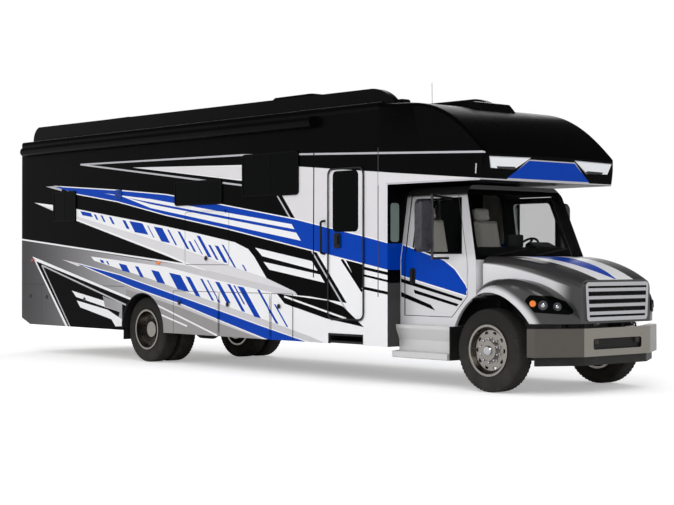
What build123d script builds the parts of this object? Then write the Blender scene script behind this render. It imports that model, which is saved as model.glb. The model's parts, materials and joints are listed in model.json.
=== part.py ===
"""Long-nose truck-cab motorhome with an over-cab bunk, as an assembly of separate pieces.

Frame: +X forward, +Y to the left (driver's) side, +Z up. The origin is on the ground, midway along
the overall length and on the centre line. Lengths are millimetres.
"""
import os
from math import cos, pi, radians, sin, sqrt

from build123d import *

# Overall sizes and the stations that everything else hangs on
LENGTH = 12050
FRONT_OVERHANG = 1050
WHEELBASE = 7220
FRONT_AXLE_X = LENGTH / 2 - FRONT_OVERHANG
REAR_AXLE_X = FRONT_AXLE_X - WHEELBASE
FRONT_X = LENGTH / 2
REAR_X = -LENGTH / 2
HOUSE_BACK = LENGTH - FRONT_OVERHANG

# House body
HOUSE_WIDTH = 2540
HOUSE_HALF = HOUSE_WIDTH / 2
WALL = 50
SKIRT_Z = 480
WALL_TOP_Z = 3540
ROOF_TOP_Z = 3650
ROOF_EDGE_RADIUS = 80
REAR_CAP_DEPTH = 330
REAR_CORNER_RADIUS = 55
DEPARTURE_RISE = 120
HOUSE_FRONT_X = FRONT_AXLE_X - 1643
CAP_SEAM_X = HOUSE_FRONT_X - 177
OVERHANG_Z = 2565
PASS_THROUGH_HALF = 940
PASS_THROUGH_TOP_Z = 2480

# Front cap over the cab
CAP_NOSE_X = FRONT_AXLE_X + 40
CAP_BROW_Z = 2890
CAP_FRONT_LEAN = 70
CAP_CORNER_RADIUS = 80
CAP_TAPER = 25
CAP_WALL = 45
CAP_SECTIONS = (
    dict(back=None, top=ROOF_TOP_Z),
    dict(back=1230, top=ROOF_TOP_Z - 62),
    dict(back=690, top=CAP_BROW_Z + 545),
    dict(back=400, top=CAP_BROW_Z + 362),
    dict(back=165, top=CAP_BROW_Z + 160),
    dict(back=-20, top=CAP_BROW_Z - 25),
)

# Ladder frame and floor
RAIL_TOP_Z = 1090
RAIL_HEIGHT = 260
RAIL_OUTER = 430
RAIL_FLANGE = 80
RAIL_PLATE = 12
BUMPER_ARM = dict(root=180, low=600, high=730)
CROSSMEMBER_LOW = 90
CROSSMEMBER_HIGH = 40
RAIL_FRONT_X = FRONT_AXLE_X + 820
RAIL_REAR_X = REAR_X + 260
CROSSMEMBER_WIDTH = 110
FLOOR = 70
FLOOR_TOP_Z = RAIL_TOP_Z + FLOOR

# Wheels and tyres
TYRE_RADIUS = 506
TYRE_WIDTH = 275
TREAD_WIDTH = 216
SHOULDER_RADIUS = 462
BEAD_RADIUS = 300
BEAD_WIDTH = 232
FRONT_WHEEL_Y = 1030
REAR_OUTER_WHEEL_Y = 1055
DUAL_SPACING = 335
RIM_WALL = 14
RIM_LAP = 2
RIM_FLANGE = 14
RIM_DISH = 0.45
DISC_KNEE = 6
DISC_BORE = 60
FLANGE_GAP = 3
DISC = 16
HUB_RADIUS = 120
HUB_FACE = 46
HAND_HOLES = 10
HAND_HOLE_RADIUS = 27
HAND_HOLE_CIRCLE = 212
DRUM_RADIUS = 205
DRUM_SHEET = 18
DRUM_BACK = 14
DRUM_SET = 10
HUB_INBOARD = 60
HUB_STUB = 45
BORE_START = 40
BORE_END = 8
SPINDLE_RADIUS = 40
BEARING_CLEARANCE = 0.05
REST_GAP = 0.3
REAR_ARCH_RADIUS = 575
LINER = 15
FRONT_ARCH_RADIUS = 700
FRONT_ARCH = dict(inner=620, outer=1430, margin=20)

# Front axle and steering
KINGPIN_Y = 880
KINGPIN_RADIUS = 20
EYE_RADIUS = 48
EYE_HEIGHT = 110
LUG_HEIGHT = 34
BEAM_DROP = 110
BEAM_DEPTH = 90
BEAM_WIDTH = 84
BEAM_KNEES = dict(low=190, lower_eye=80, upper_eye=100, top=220)
KNUCKLE_PLATE = dict(gap=6, back=38, lift=2)

# Truck cab
CAB_HALF = 1040
CAB_ROOF_HALF = 905
BELT_Z = 1600
CAB_SHOULDER_Z = 2440
CAB_ROOF_Z = 2540
CAB_SILL_Z = 770
CAB_SKIN = 45
CAB_INSET_SHARE = 1.06
CAB_PLAN_OVER = 10
TUNNEL_GAP = 30
UNDERFLOOR = dict(side=20, end=40, sheet=30)
CAB_FRONT_X = FRONT_AXLE_X - 310
WINDSHIELD_BOW = 30
WINDSHIELD_RAKE = 0.335
CAB_ROOF_EDGE = 110
CAB_ROOF_RADIUS = 120
WINDSHIELD = dict(low=1655, high=2435, low_half=985, high_half=858, corner=75)
DOOR_CUT = 260
DOOR_WINDOW = dict(rear=130, front=100, low=1700, high=2355, corner=60)
DOOR_REAR_X = FRONT_AXLE_X - 1550
DOOR_FRONT_X = FRONT_AXLE_X - 460
DOOR_BOTTOM_Z = 890
DOOR_TOP_Z = 2430
PANE = 6
PANE_SETBACK = 16

# Hood, grille and bumper
HOOD_REAR_X = FRONT_AXLE_X - 266
GRILLE_X = FRONT_AXLE_X + 1025
HOOD_LOW_Z = 845
HOOD_SHELL = 40
FENDER_HALF = 1170
BUMPER_TOP_Z = 790
BUMPER_LOW_Z = 455
BUMPER_FACE_HALF = 630
BUMPER_HALF = 1170
BUMPER_SWEEP = 300
BUMPER_DEPTH = 120
BUMPER_SHEET = 10
BUMPER_CORNER = 90
BUMPER_LAP = 40

# Gaps and hinges
DOOR_GAP = 8
DOOR_REAR_GAP = 18
HINGE_RADIUS = 8
HINGE_STAND_OFF = 0.5
HINGE_LEAF = 42
HINGE_SHEET = 5
ENTRY_HINGE_INSET = 120
HATCH_HINGE_INSET = 80
CARGO_HINGE_INSET = 60
OVERCUT = 300

# House openings on the right wall, measured back from the front axle and up from the ground
ENTRY_DOOR = dict(rear=2810, front=2085, low=790, high=2830, corner=90)
ENTRY_PANE = dict(rear=2710, front=2200, low=1970, high=2780, corner=70, proud=2)
BEDROOM_WINDOW = dict(rear=HOUSE_BACK - 1121, front=HOUSE_BACK - 1837, low=2229, high=2742, corner=50)
RIGHT_WINDOWS = (
    dict(rear=4665, front=3410, low=2490, high=3100, corner=60),
    dict(rear=6335, front=5148, low=2411, high=2777, corner=50),
    BEDROOM_WINDOW,
)
LEFT_WINDOWS = (BEDROOM_WINDOW,)
BUNK_PANE = dict(inner=1065, outer=1215, low=1830, high=2330, corner=40)
UPPER_DOOR = dict(rear=6085, front=4990, low=1520, high=2315, corner=40)
STEP_WELL = dict(rear=2800, front=2105, high=620, rise=40, inset=10)
CARGO_TOP_Z = 1130
CARGO_REAR_X = REAR_AXLE_X + 820
CARGO_WIDTHS = (1165, 1205, 500)
CARGO_DOOR = 30
CARGO_POST = 24
TUB_DEPTH = 640
TUB_SHEET = 15
WINDOW_PROUD = 14

# Slide-out room on the left wall
SLIDE_ROOM = dict(rear=6300, front=2300, low=1250, high=3260)
SLIDE_DEPTH = 900
SLIDE_WALL = 45
SLIDE_FLANGE = 60
SLIDE_FLANGE_SHEET = 20
SLIDE_CLEARANCE = 12
SLIDE_SEAL = 5
SLIDE_RUNNER = 80
SLIDE_RUNNER_INSET = 500
SLIDE_WINDOWS = (
    dict(rear=5900, front=4700, low=2350, high=2950, corner=60),
    dict(rear=3700, front=2700, low=2350, high=2950, corner=60),
)

# Roof fairings and units, awning, rear lamps and hitch
FAIRING = dict(rear=HOUSE_BACK - 20, front=1752, inner=930, outer=1030)
FAIRING_REAR = dict(bend=60, bend_rise=190, top=185, top_rise=265)
FAIRING_FRONT = dict(bend=122, bend_rise=106, top=496, top_rise=212, sink=25)
ROOF_UNIT_BEVEL = 0.6
ROOF_UNITS = (
    dict(back=HOUSE_BACK - 1800, y=-190, length=1000, width=720, height=345, edge=110),
    dict(back=4500, y=-190, length=1000, width=720, height=345, edge=110),
    dict(back=6600, y=350, length=420, width=420, height=110, edge=40),
    dict(back=2320, y=-350, length=170, width=170, height=125, edge=30),
)
DOME = dict(rear=1620, front=820, half=320, low=3400, rear_z=3600, crown=1250, crown_z=3672,
            brow=980, brow_z=3642, front_z=3480, edge=45)
AWNING = dict(rear=HOUSE_BACK - 200, front=3050, z=3465, height=150, depth=130, flat=0.45)
TAIL_LAMP = dict(y=1120, z=1560, width=110, height=330, depth=30)
HITCH = dict(mouth=REAR_X + 25, length=270, outer=64, inner=51, z=500, pin_back=60, pin_radius=8.2, end=20,
             cross=90, cross_half=45, plate=15, plate_length=130, plate_top=60)

# Running gear
CROSSMEMBERS = (-760, 760, 2650, 4500, 6200, HOUSE_BACK - 2410, HOUSE_BACK - 1110, HOUSE_BACK - 350)
ENGINE = dict(rear=250, front=-620, low=640, high=1290)
TANK = dict(rear=3420, front=2250, radius=250, z=780, gap=10)
TANK_STRAP = dict(inset=200, half=40, low=870, high=930)
AXLE = dict(tube=70, half=560, housing=185, housing_half=130, nose=85, nose_reach=330,
            seat_z=590, seat_half=70)
SHAFT = dict(radius=52, reach=100, gearbox=130, lap=10)
SPINDLE_REACH = 105
SPRING_HANGER = dict(drop=110, width=70, inset=2)
FRONT_DISC = 78
SPRINGS = (
    dict(x=FRONT_AXLE_X, half=600, seat=TYRE_RADIUS - BEAM_DROP + BEAM_DEPTH / 2, thick=50),
    dict(x=REAR_AXLE_X, half=760, seat=AXLE["seat_z"], thick=70),
)
LINER_INNER = 560
FLAP = dict(low=330, gap=20, sheet=12, inner=760)
SHIELD = dict(sheet=15, inner=620, outer=1150)

# Cab fittings
CAB_FLOOR_Z = 1130
CAB_HINGES = (1180, 1420)
DRIVER_Y = 520
DASH = dict(reach=380, low=1330, height=330, half=920)
DASH_EDGE = dict(share=0.45, foot=120, lip=40, crown=30)
WHEEL_RING = dict(radius=225, grip=15, back=200, up=40, boss=55, boss_half=30, spoke=34, spoke_depth=12,
                  column=330, column_radius=30)
WHEEL_LEAN = (-0.80, 0, 0.60)
SEAT = dict(back=1700, z=1430, width=520, lean=12, pivot=100, pivot_up=60)
SEAT_BASE = dict(rear=90, front=470, half=180)
SEAT_CUSHION = dict(rear=60, front=560, height=130)
SEAT_BACK = dict(depth=120, height=680)
SEAT_HEAD = dict(depth=95, width=280, height=180, up=770)
STEPS = dict(rear=1643, front=655, inner=930, upper=1120, riser=1060, out=1190, low=350)
STEP_FACE = dict(upper=725, riser_top=580, riser_low=440, lip_top=430, lip_low=360, toe=20)
MIRROR = dict(back=880, stand_off=185, width=220, high=2400, low=1620, tube=14, post=18, depth=90, proud=12,
              head_low=1700, head_high=2362, corner=85, edge=26, upper_foot=40, upper_drop=30, lower_foot=120)

# Hood outline, grille and lamps
HOOD_REAR_HALF = 960
HOOD_MID_HALF = 845
HOOD_FRONT_HALF = 660
HOOD_MID_X = FRONT_AXLE_X + 420
HOOD_TOP = dict(rear=1642, middle=1566, front=1362, edge=120)
FENDER = dict(top=1370, rear_drop=125, shoulder=-70, shoulder_drop=32, crown=150, brow=720, brow_drop=130,
              front_drop=470, rear_in=85, side=20, side_in=12, widest=380, turn=760, turn_in=150, nose_in=12,
              edge=110)
HOOD_PIVOT_X = FRONT_AXLE_X + 1000
HOOD_PIVOT_Z = 828
HOOD_BARREL = dict(inner=300, outer=400, radius=12, pin=7, ear=12, ear_radius=10, ear_gap=3, leaf=40)
GRILLE_LAP = 30
GRILLE = dict(low=875, high=1335, low_half=575, high_half=605, bars=4, bar=66, nose=38, corner=50, border=45,
              depth=25, bar_depth=22, plate=6)
BUMPER_INNER = dict(face=4, back=50)
VALANCE = dict(set_back=30, half=60, face=30, sheet=30)
BUMPER_SLOT = dict(z=600, half=460, height=130, corner=30)
VALANCE_LOW_Z = 350
HEADLAMP = dict(x=480, y=620, proud=12, corner=32, reach=900)
LAMP_OUTLINE = ((-331, 1120), (-268, 1185), (-15, 1173), (162, 1109), (263, 985), (187, 956), (-218, 980))
LAMP_TURN = radians(42)
CAP_LAMP = ((420, 2862), (1165, 2850), (1110, 2712), (700, 2705))
CAP_LAMP_PROUD = 12


def station(back):
    """X of a point that lies this far behind the front axle."""
    return FRONT_AXLE_X - back


def block(x, y, z):
    """A box from three (low, high) pairs."""
    size = [abs(b - a) for a, b in (x, y, z)]
    return Pos(*[(a + b) / 2 for a, b in (x, y, z)]) * Box(*size)


def prism_xz(face, y):
    """A sketch drawn in X and Z, as a solid between two values of Y."""
    low, high = sorted(y)
    plane = Plane(origin=(0, high, 0), x_dir=(1, 0, 0), z_dir=(0, -1, 0))
    return extrude(plane * face, high - low)


def prism_yz(face, x):
    """A sketch drawn in Y and Z, as a solid between two values of X."""
    low, high = sorted(x)
    plane = Plane(origin=(low, 0, 0), x_dir=(0, 1, 0), z_dir=(1, 0, 0))
    return extrude(plane * face, high - low)


def prism_xy(face, z):
    """A sketch drawn in X and Y, as a solid between two values of Z."""
    low, high = sorted(z)
    return extrude(Plane.XY.offset(low) * face, high - low)


def polygon(*points):
    return make_face(Polyline(*points, close=True))


def panel_face(spec, grow=0.0):
    """A rounded rectangle in X and Z from an opening's stations and heights."""
    width = spec["rear"] - spec["front"] + 2 * grow
    height = spec["high"] - spec["low"] + 2 * grow
    middle = station((spec["rear"] + spec["front"]) / 2), (spec["low"] + spec["high"]) / 2
    corner = spec.get("corner", 0)
    sketch = RectangleRounded(width, height, corner + grow) if corner else Rectangle(width, height)
    return Pos(*middle) * sketch


def mirrored(shape):
    """The same shape on the other side of the centre line."""
    solids = [mirror(solid, about=Plane.XZ) for solid in shape.solids()]
    return solids[0] if len(solids) == 1 else Compound(children=solids)


def rod(start, end, radius):
    """A round bar between two points."""
    a, b = Vector(*start), Vector(*end)
    plane = Plane(origin=a, z_dir=(b - a).normalized())
    return extrude(plane * Circle(radius), (b - a).length)


def wheel_cylinder(x, radius, y):
    """A cylinder about a wheel's axis, between two values of Y."""
    return prism_xz(Pos(x, TYRE_RADIUS) * Circle(radius), y)


def upright_hinge(x, side, face, heights, toward):
    """A hinge barrel proud of a side wall, and the leaf that joins it to its door."""
    axis_y = side * (face + HINGE_STAND_OFF + HINGE_RADIUS)
    barrel = prism_xy(Pos(x, axis_y) * Circle(HINGE_RADIUS), heights)
    leaf = block((x, x + toward * HINGE_LEAF), (side * face, side * (face + HINGE_SHEET)), heights)
    return barrel + leaf


# House walls, floor, roof and caps

def cargo_edges():
    """X of the edges of the lower cargo doors, from the rear forward."""
    edges = [CARGO_REAR_X]
    for width in CARGO_WIDTHS:
        edges.append(edges[-1] + width)
    return edges


def wall_plate(side):
    """A side wall's plate, with the wheel arch and the row of cargo doors cut out."""
    inner, outer = side * (HOUSE_HALF - WALL), side * HOUSE_HALF
    plate = block((REAR_X + REAR_CAP_DEPTH, CAP_SEAM_X), (inner, outer), (SKIRT_Z, WALL_TOP_Z))
    through = (side * (HOUSE_HALF - 2 * WALL), side * (HOUSE_HALF + WALL))
    plate -= wheel_cylinder(REAR_AXLE_X, REAR_ARCH_RADIUS + REST_GAP, through)
    arch = REAR_ARCH_RADIUS + REST_GAP
    plate -= block((REAR_AXLE_X - arch, REAR_AXLE_X + arch), through, (0, TYRE_RADIUS))
    edges = cargo_edges()
    for rear, front in zip(edges, edges[1:]):
        plate -= block((rear + CARGO_POST / 2, front - CARGO_POST / 2), through, (0, CARGO_TOP_Z))
    return plate, through


def house_wall_right():
    plate, through = wall_plate(-1)
    for spec in (ENTRY_DOOR, UPPER_DOOR, *RIGHT_WINDOWS):
        plate -= prism_xz(panel_face(spec), through)
    plate -= block((station(STEP_WELL["rear"]), station(STEP_WELL["front"])), through, (0, STEP_WELL["high"]))
    return plate


def house_wall_left():
    plate, through = wall_plate(1)
    plate -= prism_xz(panel_face(SLIDE_ROOM), through)
    for spec in LEFT_WINDOWS:
        plate -= prism_xz(panel_face(spec), through)
    return plate


def house_front():
    """The bulkhead round the cab, with the returns that meet the side walls."""
    face = polygon((CAP_SEAM_X, -HOUSE_HALF), (HOUSE_FRONT_X, -HOUSE_HALF),
                   (HOUSE_FRONT_X, HOUSE_HALF), (CAP_SEAM_X, HOUSE_HALF))
    shell = prism_xy(face, (SKIRT_Z, OVERHANG_Z))
    inside = (HOUSE_HALF - WALL)
    shell -= block((CAP_SEAM_X - 1, HOUSE_FRONT_X - WALL), (-inside, inside), (0, OVERHANG_Z + 1))
    shell -= block((CAP_SEAM_X, HOUSE_FRONT_X + 1), (-PASS_THROUGH_HALF, PASS_THROUGH_HALF),
                   (0, PASS_THROUGH_TOP_Z))
    for side in (-1, 1):
        shell -= prism_yz(bunk_pane_face(side), (HOUSE_FRONT_X - 2 * WALL, HOUSE_FRONT_X + 1))
    return shell


def bunk_pane_face(side, grow=0.0):
    """The narrow pane beside the cab, in Y and Z."""
    width = BUNK_PANE["outer"] - BUNK_PANE["inner"] + 2 * grow
    height = BUNK_PANE["high"] - BUNK_PANE["low"] + 2 * grow
    middle = side * (BUNK_PANE["inner"] + BUNK_PANE["outer"]) / 2, (BUNK_PANE["low"] + BUNK_PANE["high"]) / 2
    return Pos(*middle) * RectangleRounded(width, height, BUNK_PANE["corner"] + grow)


def house_rear():
    """The rear moulding: one shell that wraps both corners, its lower edge raised at the back."""
    face = Pos(REAR_X + REAR_CAP_DEPTH / 2) * Rectangle(REAR_CAP_DEPTH, HOUSE_WIDTH)
    rear_corners = face.vertices().group_by(Axis.X)[0]
    outer = prism_xy(fillet(rear_corners, REAR_CORNER_RADIUS), (SKIRT_Z, WALL_TOP_Z))
    inner_face = Pos(REAR_X + WALL + REAR_CAP_DEPTH / 2) * Rectangle(REAR_CAP_DEPTH, HOUSE_WIDTH - 2 * WALL)
    inner_corners = inner_face.vertices().group_by(Axis.X)[0]
    shell = outer - prism_xy(fillet(inner_corners, REAR_CORNER_RADIUS - WALL), (SKIRT_Z - 1, WALL_TOP_Z + 1))
    rise = polygon((REAR_X - 1, SKIRT_Z - 1), (REAR_X + REAR_CAP_DEPTH, SKIRT_Z - 1),
                   (REAR_X - 1, SKIRT_Z + DEPARTURE_RISE))
    shell -= prism_xz(rise, (-HOUSE_WIDTH, HOUSE_WIDTH))
    for side in (-1, 1):
        shell -= prism_yz(tail_lamp_face(side), (REAR_X - 1, REAR_X + TAIL_LAMP["depth"]))
    return shell


def house_roof():
    """A shallow tray turned over the walls, with rounded long edges and rear corners."""
    face = Pos(0, (WALL_TOP_Z + ROOF_TOP_Z) / 2) * Rectangle(HOUSE_WIDTH, ROOF_TOP_Z - WALL_TOP_Z)
    face = fillet(face.vertices().group_by(Axis.Y)[-1], ROOF_EDGE_RADIUS)
    outer = prism_yz(face, (REAR_X, CAP_SEAM_X))
    plan = Pos((REAR_X + CAP_SEAM_X) / 2) * Rectangle(CAP_SEAM_X - REAR_X, HOUSE_WIDTH)
    plan = fillet(plan.vertices().group_by(Axis.X)[0], REAR_CORNER_RADIUS)
    outer &= prism_xy(plan, (WALL_TOP_Z, ROOF_TOP_Z))
    inside = HOUSE_HALF - WALL
    x = (REAR_X + WALL, CAP_SEAM_X + 1)
    return outer - block(x, (-inside, inside), (WALL_TOP_Z - 1, ROOF_TOP_Z - WALL))


def house_floor():
    """The floor slab, with the two runners that carry the sliding room."""
    length, middle = HOUSE_FRONT_X - REAR_X - 2 * WALL, (HOUSE_FRONT_X + REAR_X) / 2
    plan = Pos(middle) * Rectangle(length, HOUSE_WIDTH - 2 * WALL)
    plan = fillet(plan.vertices().group_by(Axis.X)[0], REAR_CORNER_RADIUS - WALL)
    floor = prism_xy(plan, (RAIL_TOP_Z, FLOOR_TOP_Z))
    runner_top = SLIDE_ROOM["low"] + SLIDE_CLEARANCE - REST_GAP
    for back in (SLIDE_ROOM["rear"] - SLIDE_RUNNER_INSET, SLIDE_ROOM["front"] + SLIDE_RUNNER_INSET):
        x = (station(back) - SLIDE_RUNNER / 2, station(back) + SLIDE_RUNNER / 2)
        floor += block(x, (HOUSE_HALF - SLIDE_DEPTH, HOUSE_HALF - WALL), (FLOOR_TOP_Z, runner_top))
    return floor


def cap_form(inset):
    """The over-cab moulding's outside, or its inside when inset."""
    low, radius = OVERHANG_Z + inset, ROOF_EDGE_RADIUS - inset
    rear = CAP_SEAM_X - (1 if inset else 0)
    sections = []
    for row in CAP_SECTIONS:
        x = CAP_NOSE_X - row["back"] if row["back"] is not None else rear
        top = row["top"] - inset
        face = Pos(0, (low + top) / 2) * Rectangle(2 * (HOUSE_HALF - inset), top - low)
        face = fillet(face.vertices().group_by(Axis.Y)[-1], radius)
        sections.append(Plane(origin=(x, 0, 0), x_dir=(0, 1, 0), z_dir=(1, 0, 0)) * face)
    form = loft(sections)
    nose, front = CAP_NOSE_X - inset, HOUSE_HALF - CAP_TAPER - inset
    half = HOUSE_HALF - inset
    plan = polygon((rear, -half), (nose, -front), (nose, front), (rear, half))
    plan = fillet(plan.vertices().group_by(Axis.X)[-1], CAP_CORNER_RADIUS - inset)
    form &= prism_xy(plan, (low - 1, ROOF_TOP_Z))
    lean = polygon((rear - 1, low), (nose - CAP_FRONT_LEAN, low), (nose, CAP_BROW_Z),
                   (nose, ROOF_TOP_Z), (rear - 1, ROOF_TOP_Z))
    return form & prism_xz(lean, (-HOUSE_HALF, HOUSE_HALF))


def front_cap():
    shell = cap_form(0) - cap_form(CAP_WALL)
    inside = HOUSE_HALF - WALL
    over_room = (OVERHANG_Z - 1, OVERHANG_Z + 2 * CAP_WALL)
    return shell - block((CAP_SEAM_X - 1, HOUSE_FRONT_X - WALL), (-inside, inside), over_room)


# Doors, panes and the slide-out room of the house

def wall_band(side, proud=0.0, depth=WALL):
    """Y values of a panel that lies in a side wall."""
    return side * (HOUSE_HALF - depth), side * (HOUSE_HALF + proud)


def entry_door():
    panel = prism_xz(panel_face(ENTRY_DOOR, -DOOR_GAP), wall_band(-1))
    panel -= prism_xz(panel_face(ENTRY_PANE), wall_band(-1, WALL, 2 * WALL))
    heights = (ENTRY_DOOR["low"] + ENTRY_HINGE_INSET, ENTRY_DOOR["high"] - ENTRY_HINGE_INSET)
    return panel + upright_hinge(station(ENTRY_DOOR["front"]), -1, HOUSE_HALF, heights, -1)


def upper_cargo_door():
    """The hatch in the right wall, hinged along its top edge."""
    panel = prism_xz(panel_face(UPPER_DOOR, -DOOR_GAP), wall_band(-1))
    x = (station(UPPER_DOOR["rear"]) + HATCH_HINGE_INSET, station(UPPER_DOOR["front"]) - HATCH_HINGE_INSET)
    z = UPPER_DOOR["high"]
    axis_y = -(HOUSE_HALF + HINGE_STAND_OFF + HINGE_RADIUS)
    barrel = prism_yz(Pos(axis_y, z) * Circle(HINGE_RADIUS), x)
    leaf = block(x, (-HOUSE_HALF, -HOUSE_HALF - HINGE_SHEET), (z - HINGE_LEAF, z))
    return panel + barrel + leaf


def cargo_doors(side):
    """The lower doors of one side, each hinged on its front edge."""
    doors = []
    edges = cargo_edges()
    for rear, front in zip(edges, edges[1:]):
        jamb = (rear + CARGO_POST / 2, front - CARGO_POST / 2)
        z = (SKIRT_Z, CARGO_TOP_Z - DOOR_GAP)
        panel = block((jamb[0] + DOOR_GAP, jamb[1] - DOOR_GAP), wall_band(side, 0, CARGO_DOOR), z)
        heights = (z[0] + CARGO_HINGE_INSET, z[1] - CARGO_HINGE_INSET)
        doors.append(panel + upright_hinge(jamb[1], side, HOUSE_HALF, heights, -1))
    return doors


def pane(spec, side, proud):
    """A window pane seated in its opening, its rim standing proud of the wall."""
    return prism_xz(panel_face(spec, -REST_GAP), wall_band(side, proud))


def house_windows():
    panes = [pane(spec, -1, WINDOW_PROUD) for spec in RIGHT_WINDOWS]
    panes += [pane(spec, 1, WINDOW_PROUD) for spec in LEFT_WINDOWS]
    for side in (-1, 1):
        panes.append(prism_yz(bunk_pane_face(side, -REST_GAP), (HOUSE_FRONT_X - WALL, HOUSE_FRONT_X)))
    return Compound(children=panes)


def slideout():
    """The sliding room's box, open to the inside, with the flange that closes on the wall."""
    shrink = -SLIDE_CLEARANCE
    y = (HOUSE_HALF - SLIDE_DEPTH, HOUSE_HALF)
    box = prism_xz(panel_face(SLIDE_ROOM, shrink), y)
    box -= prism_xz(panel_face(SLIDE_ROOM, shrink - SLIDE_WALL), (y[0] - 1, y[1] - SLIDE_WALL))
    flange_y = (HOUSE_HALF + SLIDE_SEAL, HOUSE_HALF + SLIDE_SEAL + SLIDE_FLANGE_SHEET)
    box += prism_xz(panel_face(SLIDE_ROOM, shrink), (HOUSE_HALF, flange_y[1]))
    box += prism_xz(panel_face(SLIDE_ROOM, SLIDE_FLANGE), flange_y)
    for spec in SLIDE_WINDOWS:
        box -= prism_xz(panel_face(spec), (y[1] - 2 * SLIDE_WALL, y[1] + 2 * SLIDE_WALL))
    return box


def slideout_glass():
    y = (HOUSE_HALF - SLIDE_WALL, HOUSE_HALF + SLIDE_SEAL + SLIDE_FLANGE_SHEET)
    return Compound(children=[prism_xz(panel_face(spec, -REST_GAP), y) for spec in SLIDE_WINDOWS])


def storage_tubs():
    """The trays behind the lower doors, one compartment a door, hung from the floor."""
    tubs = []
    edges = cargo_edges()
    for side in (-1, 1):
        mouth = side * (HOUSE_HALF - WALL - DOOR_GAP)
        back = mouth - side * TUB_DEPTH
        tub = block((edges[0], edges[-1]), (mouth, back), (SKIRT_Z + 2 * TUB_SHEET, RAIL_TOP_Z))
        for rear, front in zip(edges, edges[1:]):
            x, y = (rear + TUB_SHEET, front - TUB_SHEET), (mouth + side, back + side * TUB_SHEET)
            tub -= block(x, y, (SKIRT_Z + 3 * TUB_SHEET, RAIL_TOP_Z + 1))
        tubs.append(tub)
    return Compound(children=tubs)


def entry_step():
    """The stair well behind the entry door and the folded step under it."""
    x = (station(STEP_WELL["rear"]) + DOOR_GAP, station(STEP_WELL["front"]) - DOOR_GAP)
    mouth = -(HOUSE_HALF - WALL - DOOR_GAP)
    back, high = mouth + TUB_DEPTH, STEP_WELL["high"]
    low, sill = high + STEP_WELL["rise"], SKIRT_Z + STEP_WELL["inset"]
    well = block(x, (mouth, back), (low, RAIL_TOP_Z))
    inside = (x[0] + TUB_SHEET, x[1] - TUB_SHEET)
    well -= block(inside, (mouth - 1, back - TUB_SHEET), (low + TUB_SHEET, RAIL_TOP_Z + 1))
    step = block(x, (-HOUSE_HALF + STEP_WELL["inset"], back), (sill, high - DOOR_GAP))
    step -= block(inside, (-HOUSE_HALF, mouth + TUB_DEPTH / 2), (sill + 2 * TUB_SHEET, high - 2 * TUB_SHEET))
    link = block(x, (mouth, back), (high - 2 * DOOR_GAP, low + 1))
    return well + step + link


# Roof equipment, awning and rear fittings

def roof_fairings():
    """The long side fairings on the roof, rounded at the back and curved down at the front."""
    base = ROOF_TOP_Z
    rear, front = station(FAIRING["rear"]), station(FAIRING["front"])
    back_top = (rear + FAIRING_REAR["top"], base + FAIRING_REAR["top_rise"])
    back_bend = (rear + FAIRING_REAR["bend"], base + FAIRING_REAR["bend_rise"])
    front_top = (front - FAIRING_FRONT["top"], base + FAIRING_FRONT["top_rise"])
    front_bend = (front - FAIRING_FRONT["bend"], base + FAIRING_FRONT["bend_rise"])
    sunk = base - FAIRING_FRONT["sink"]
    face = make_face([
        Polyline((front, base), (front, sunk), (CAP_SEAM_X, sunk), (CAP_SEAM_X, base), (rear, base)),
        ThreePointArc((rear, base), back_bend, back_top),
        Line(back_top, front_top),
        ThreePointArc(front_top, front_bend, (front, base)),
    ])
    cap = cap_form(0)
    return [prism_xz(face, (side * FAIRING["inner"], side * FAIRING["outer"])) - cap for side in (-1, 1)]


def roof_units():
    """Two air-conditioner covers and two vents."""
    solids = []
    for row in ROOF_UNITS:
        x, y = station(row["back"]), row["y"]
        plan = Pos(x, y) * RectangleRounded(row["length"], row["width"], row["edge"])
        cover = prism_xy(plan, (ROOF_TOP_Z, ROOF_TOP_Z + row["height"]))
        solids.append(chamfer(cover.faces().sort_by(Axis.Z)[-1].edges(), ROOF_UNIT_BEVEL * row["edge"]))
    return solids


def roof_dome():
    """The low dome over the cab: a long crown that drops at its front, seated on the cap."""
    rear, crown, brow, front = (station(DOME[key]) for key in ("rear", "crown", "brow", "front"))
    brow_point, low = (brow, DOME["brow_z"]), DOME["low"]
    profile = make_face([
        ThreePointArc((rear, DOME["rear_z"]), (crown, DOME["crown_z"]), brow_point),
        Polyline(brow_point, (front, DOME["front_z"]), (front, low), (rear, low), (rear, DOME["rear_z"])),
    ])
    dome = prism_xz(profile, (-DOME["half"], DOME["half"]))
    plan = Pos((rear + front) / 2) * RectangleRounded(front - rear, 2 * DOME["half"], 2 * DOME["edge"])
    return dome & prism_xy(plan, (low, 2 * DOME["crown_z"])) - cap_form(0)


def awning():
    """The rolled awning's case along the top of the right wall."""
    x = (station(AWNING["rear"]), station(AWNING["front"]))
    face, half, z = -HOUSE_HALF, AWNING["height"] / 2, AWNING["z"]
    shoulder = face - AWNING["depth"] * AWNING["flat"]
    nose = (face - AWNING["depth"], z)
    profile = make_face([
        Polyline((shoulder, z - half), (face, z - half), (face, z + half), (shoulder, z + half)),
        ThreePointArc((shoulder, z + half), nose, (shoulder, z - half)),
    ])
    return prism_yz(profile, x)


def tail_lamp_face(side, grow=0.0):
    middle = side * TAIL_LAMP["y"], TAIL_LAMP["z"]
    return Pos(*middle) * Rectangle(TAIL_LAMP["width"] + 2 * grow, TAIL_LAMP["height"] + 2 * grow)


def tail_lamps():
    x = (REAR_X, REAR_X + TAIL_LAMP["depth"])
    return Compound(children=[prism_yz(tail_lamp_face(side, -REST_GAP), x) for side in (-1, 1)])


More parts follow.
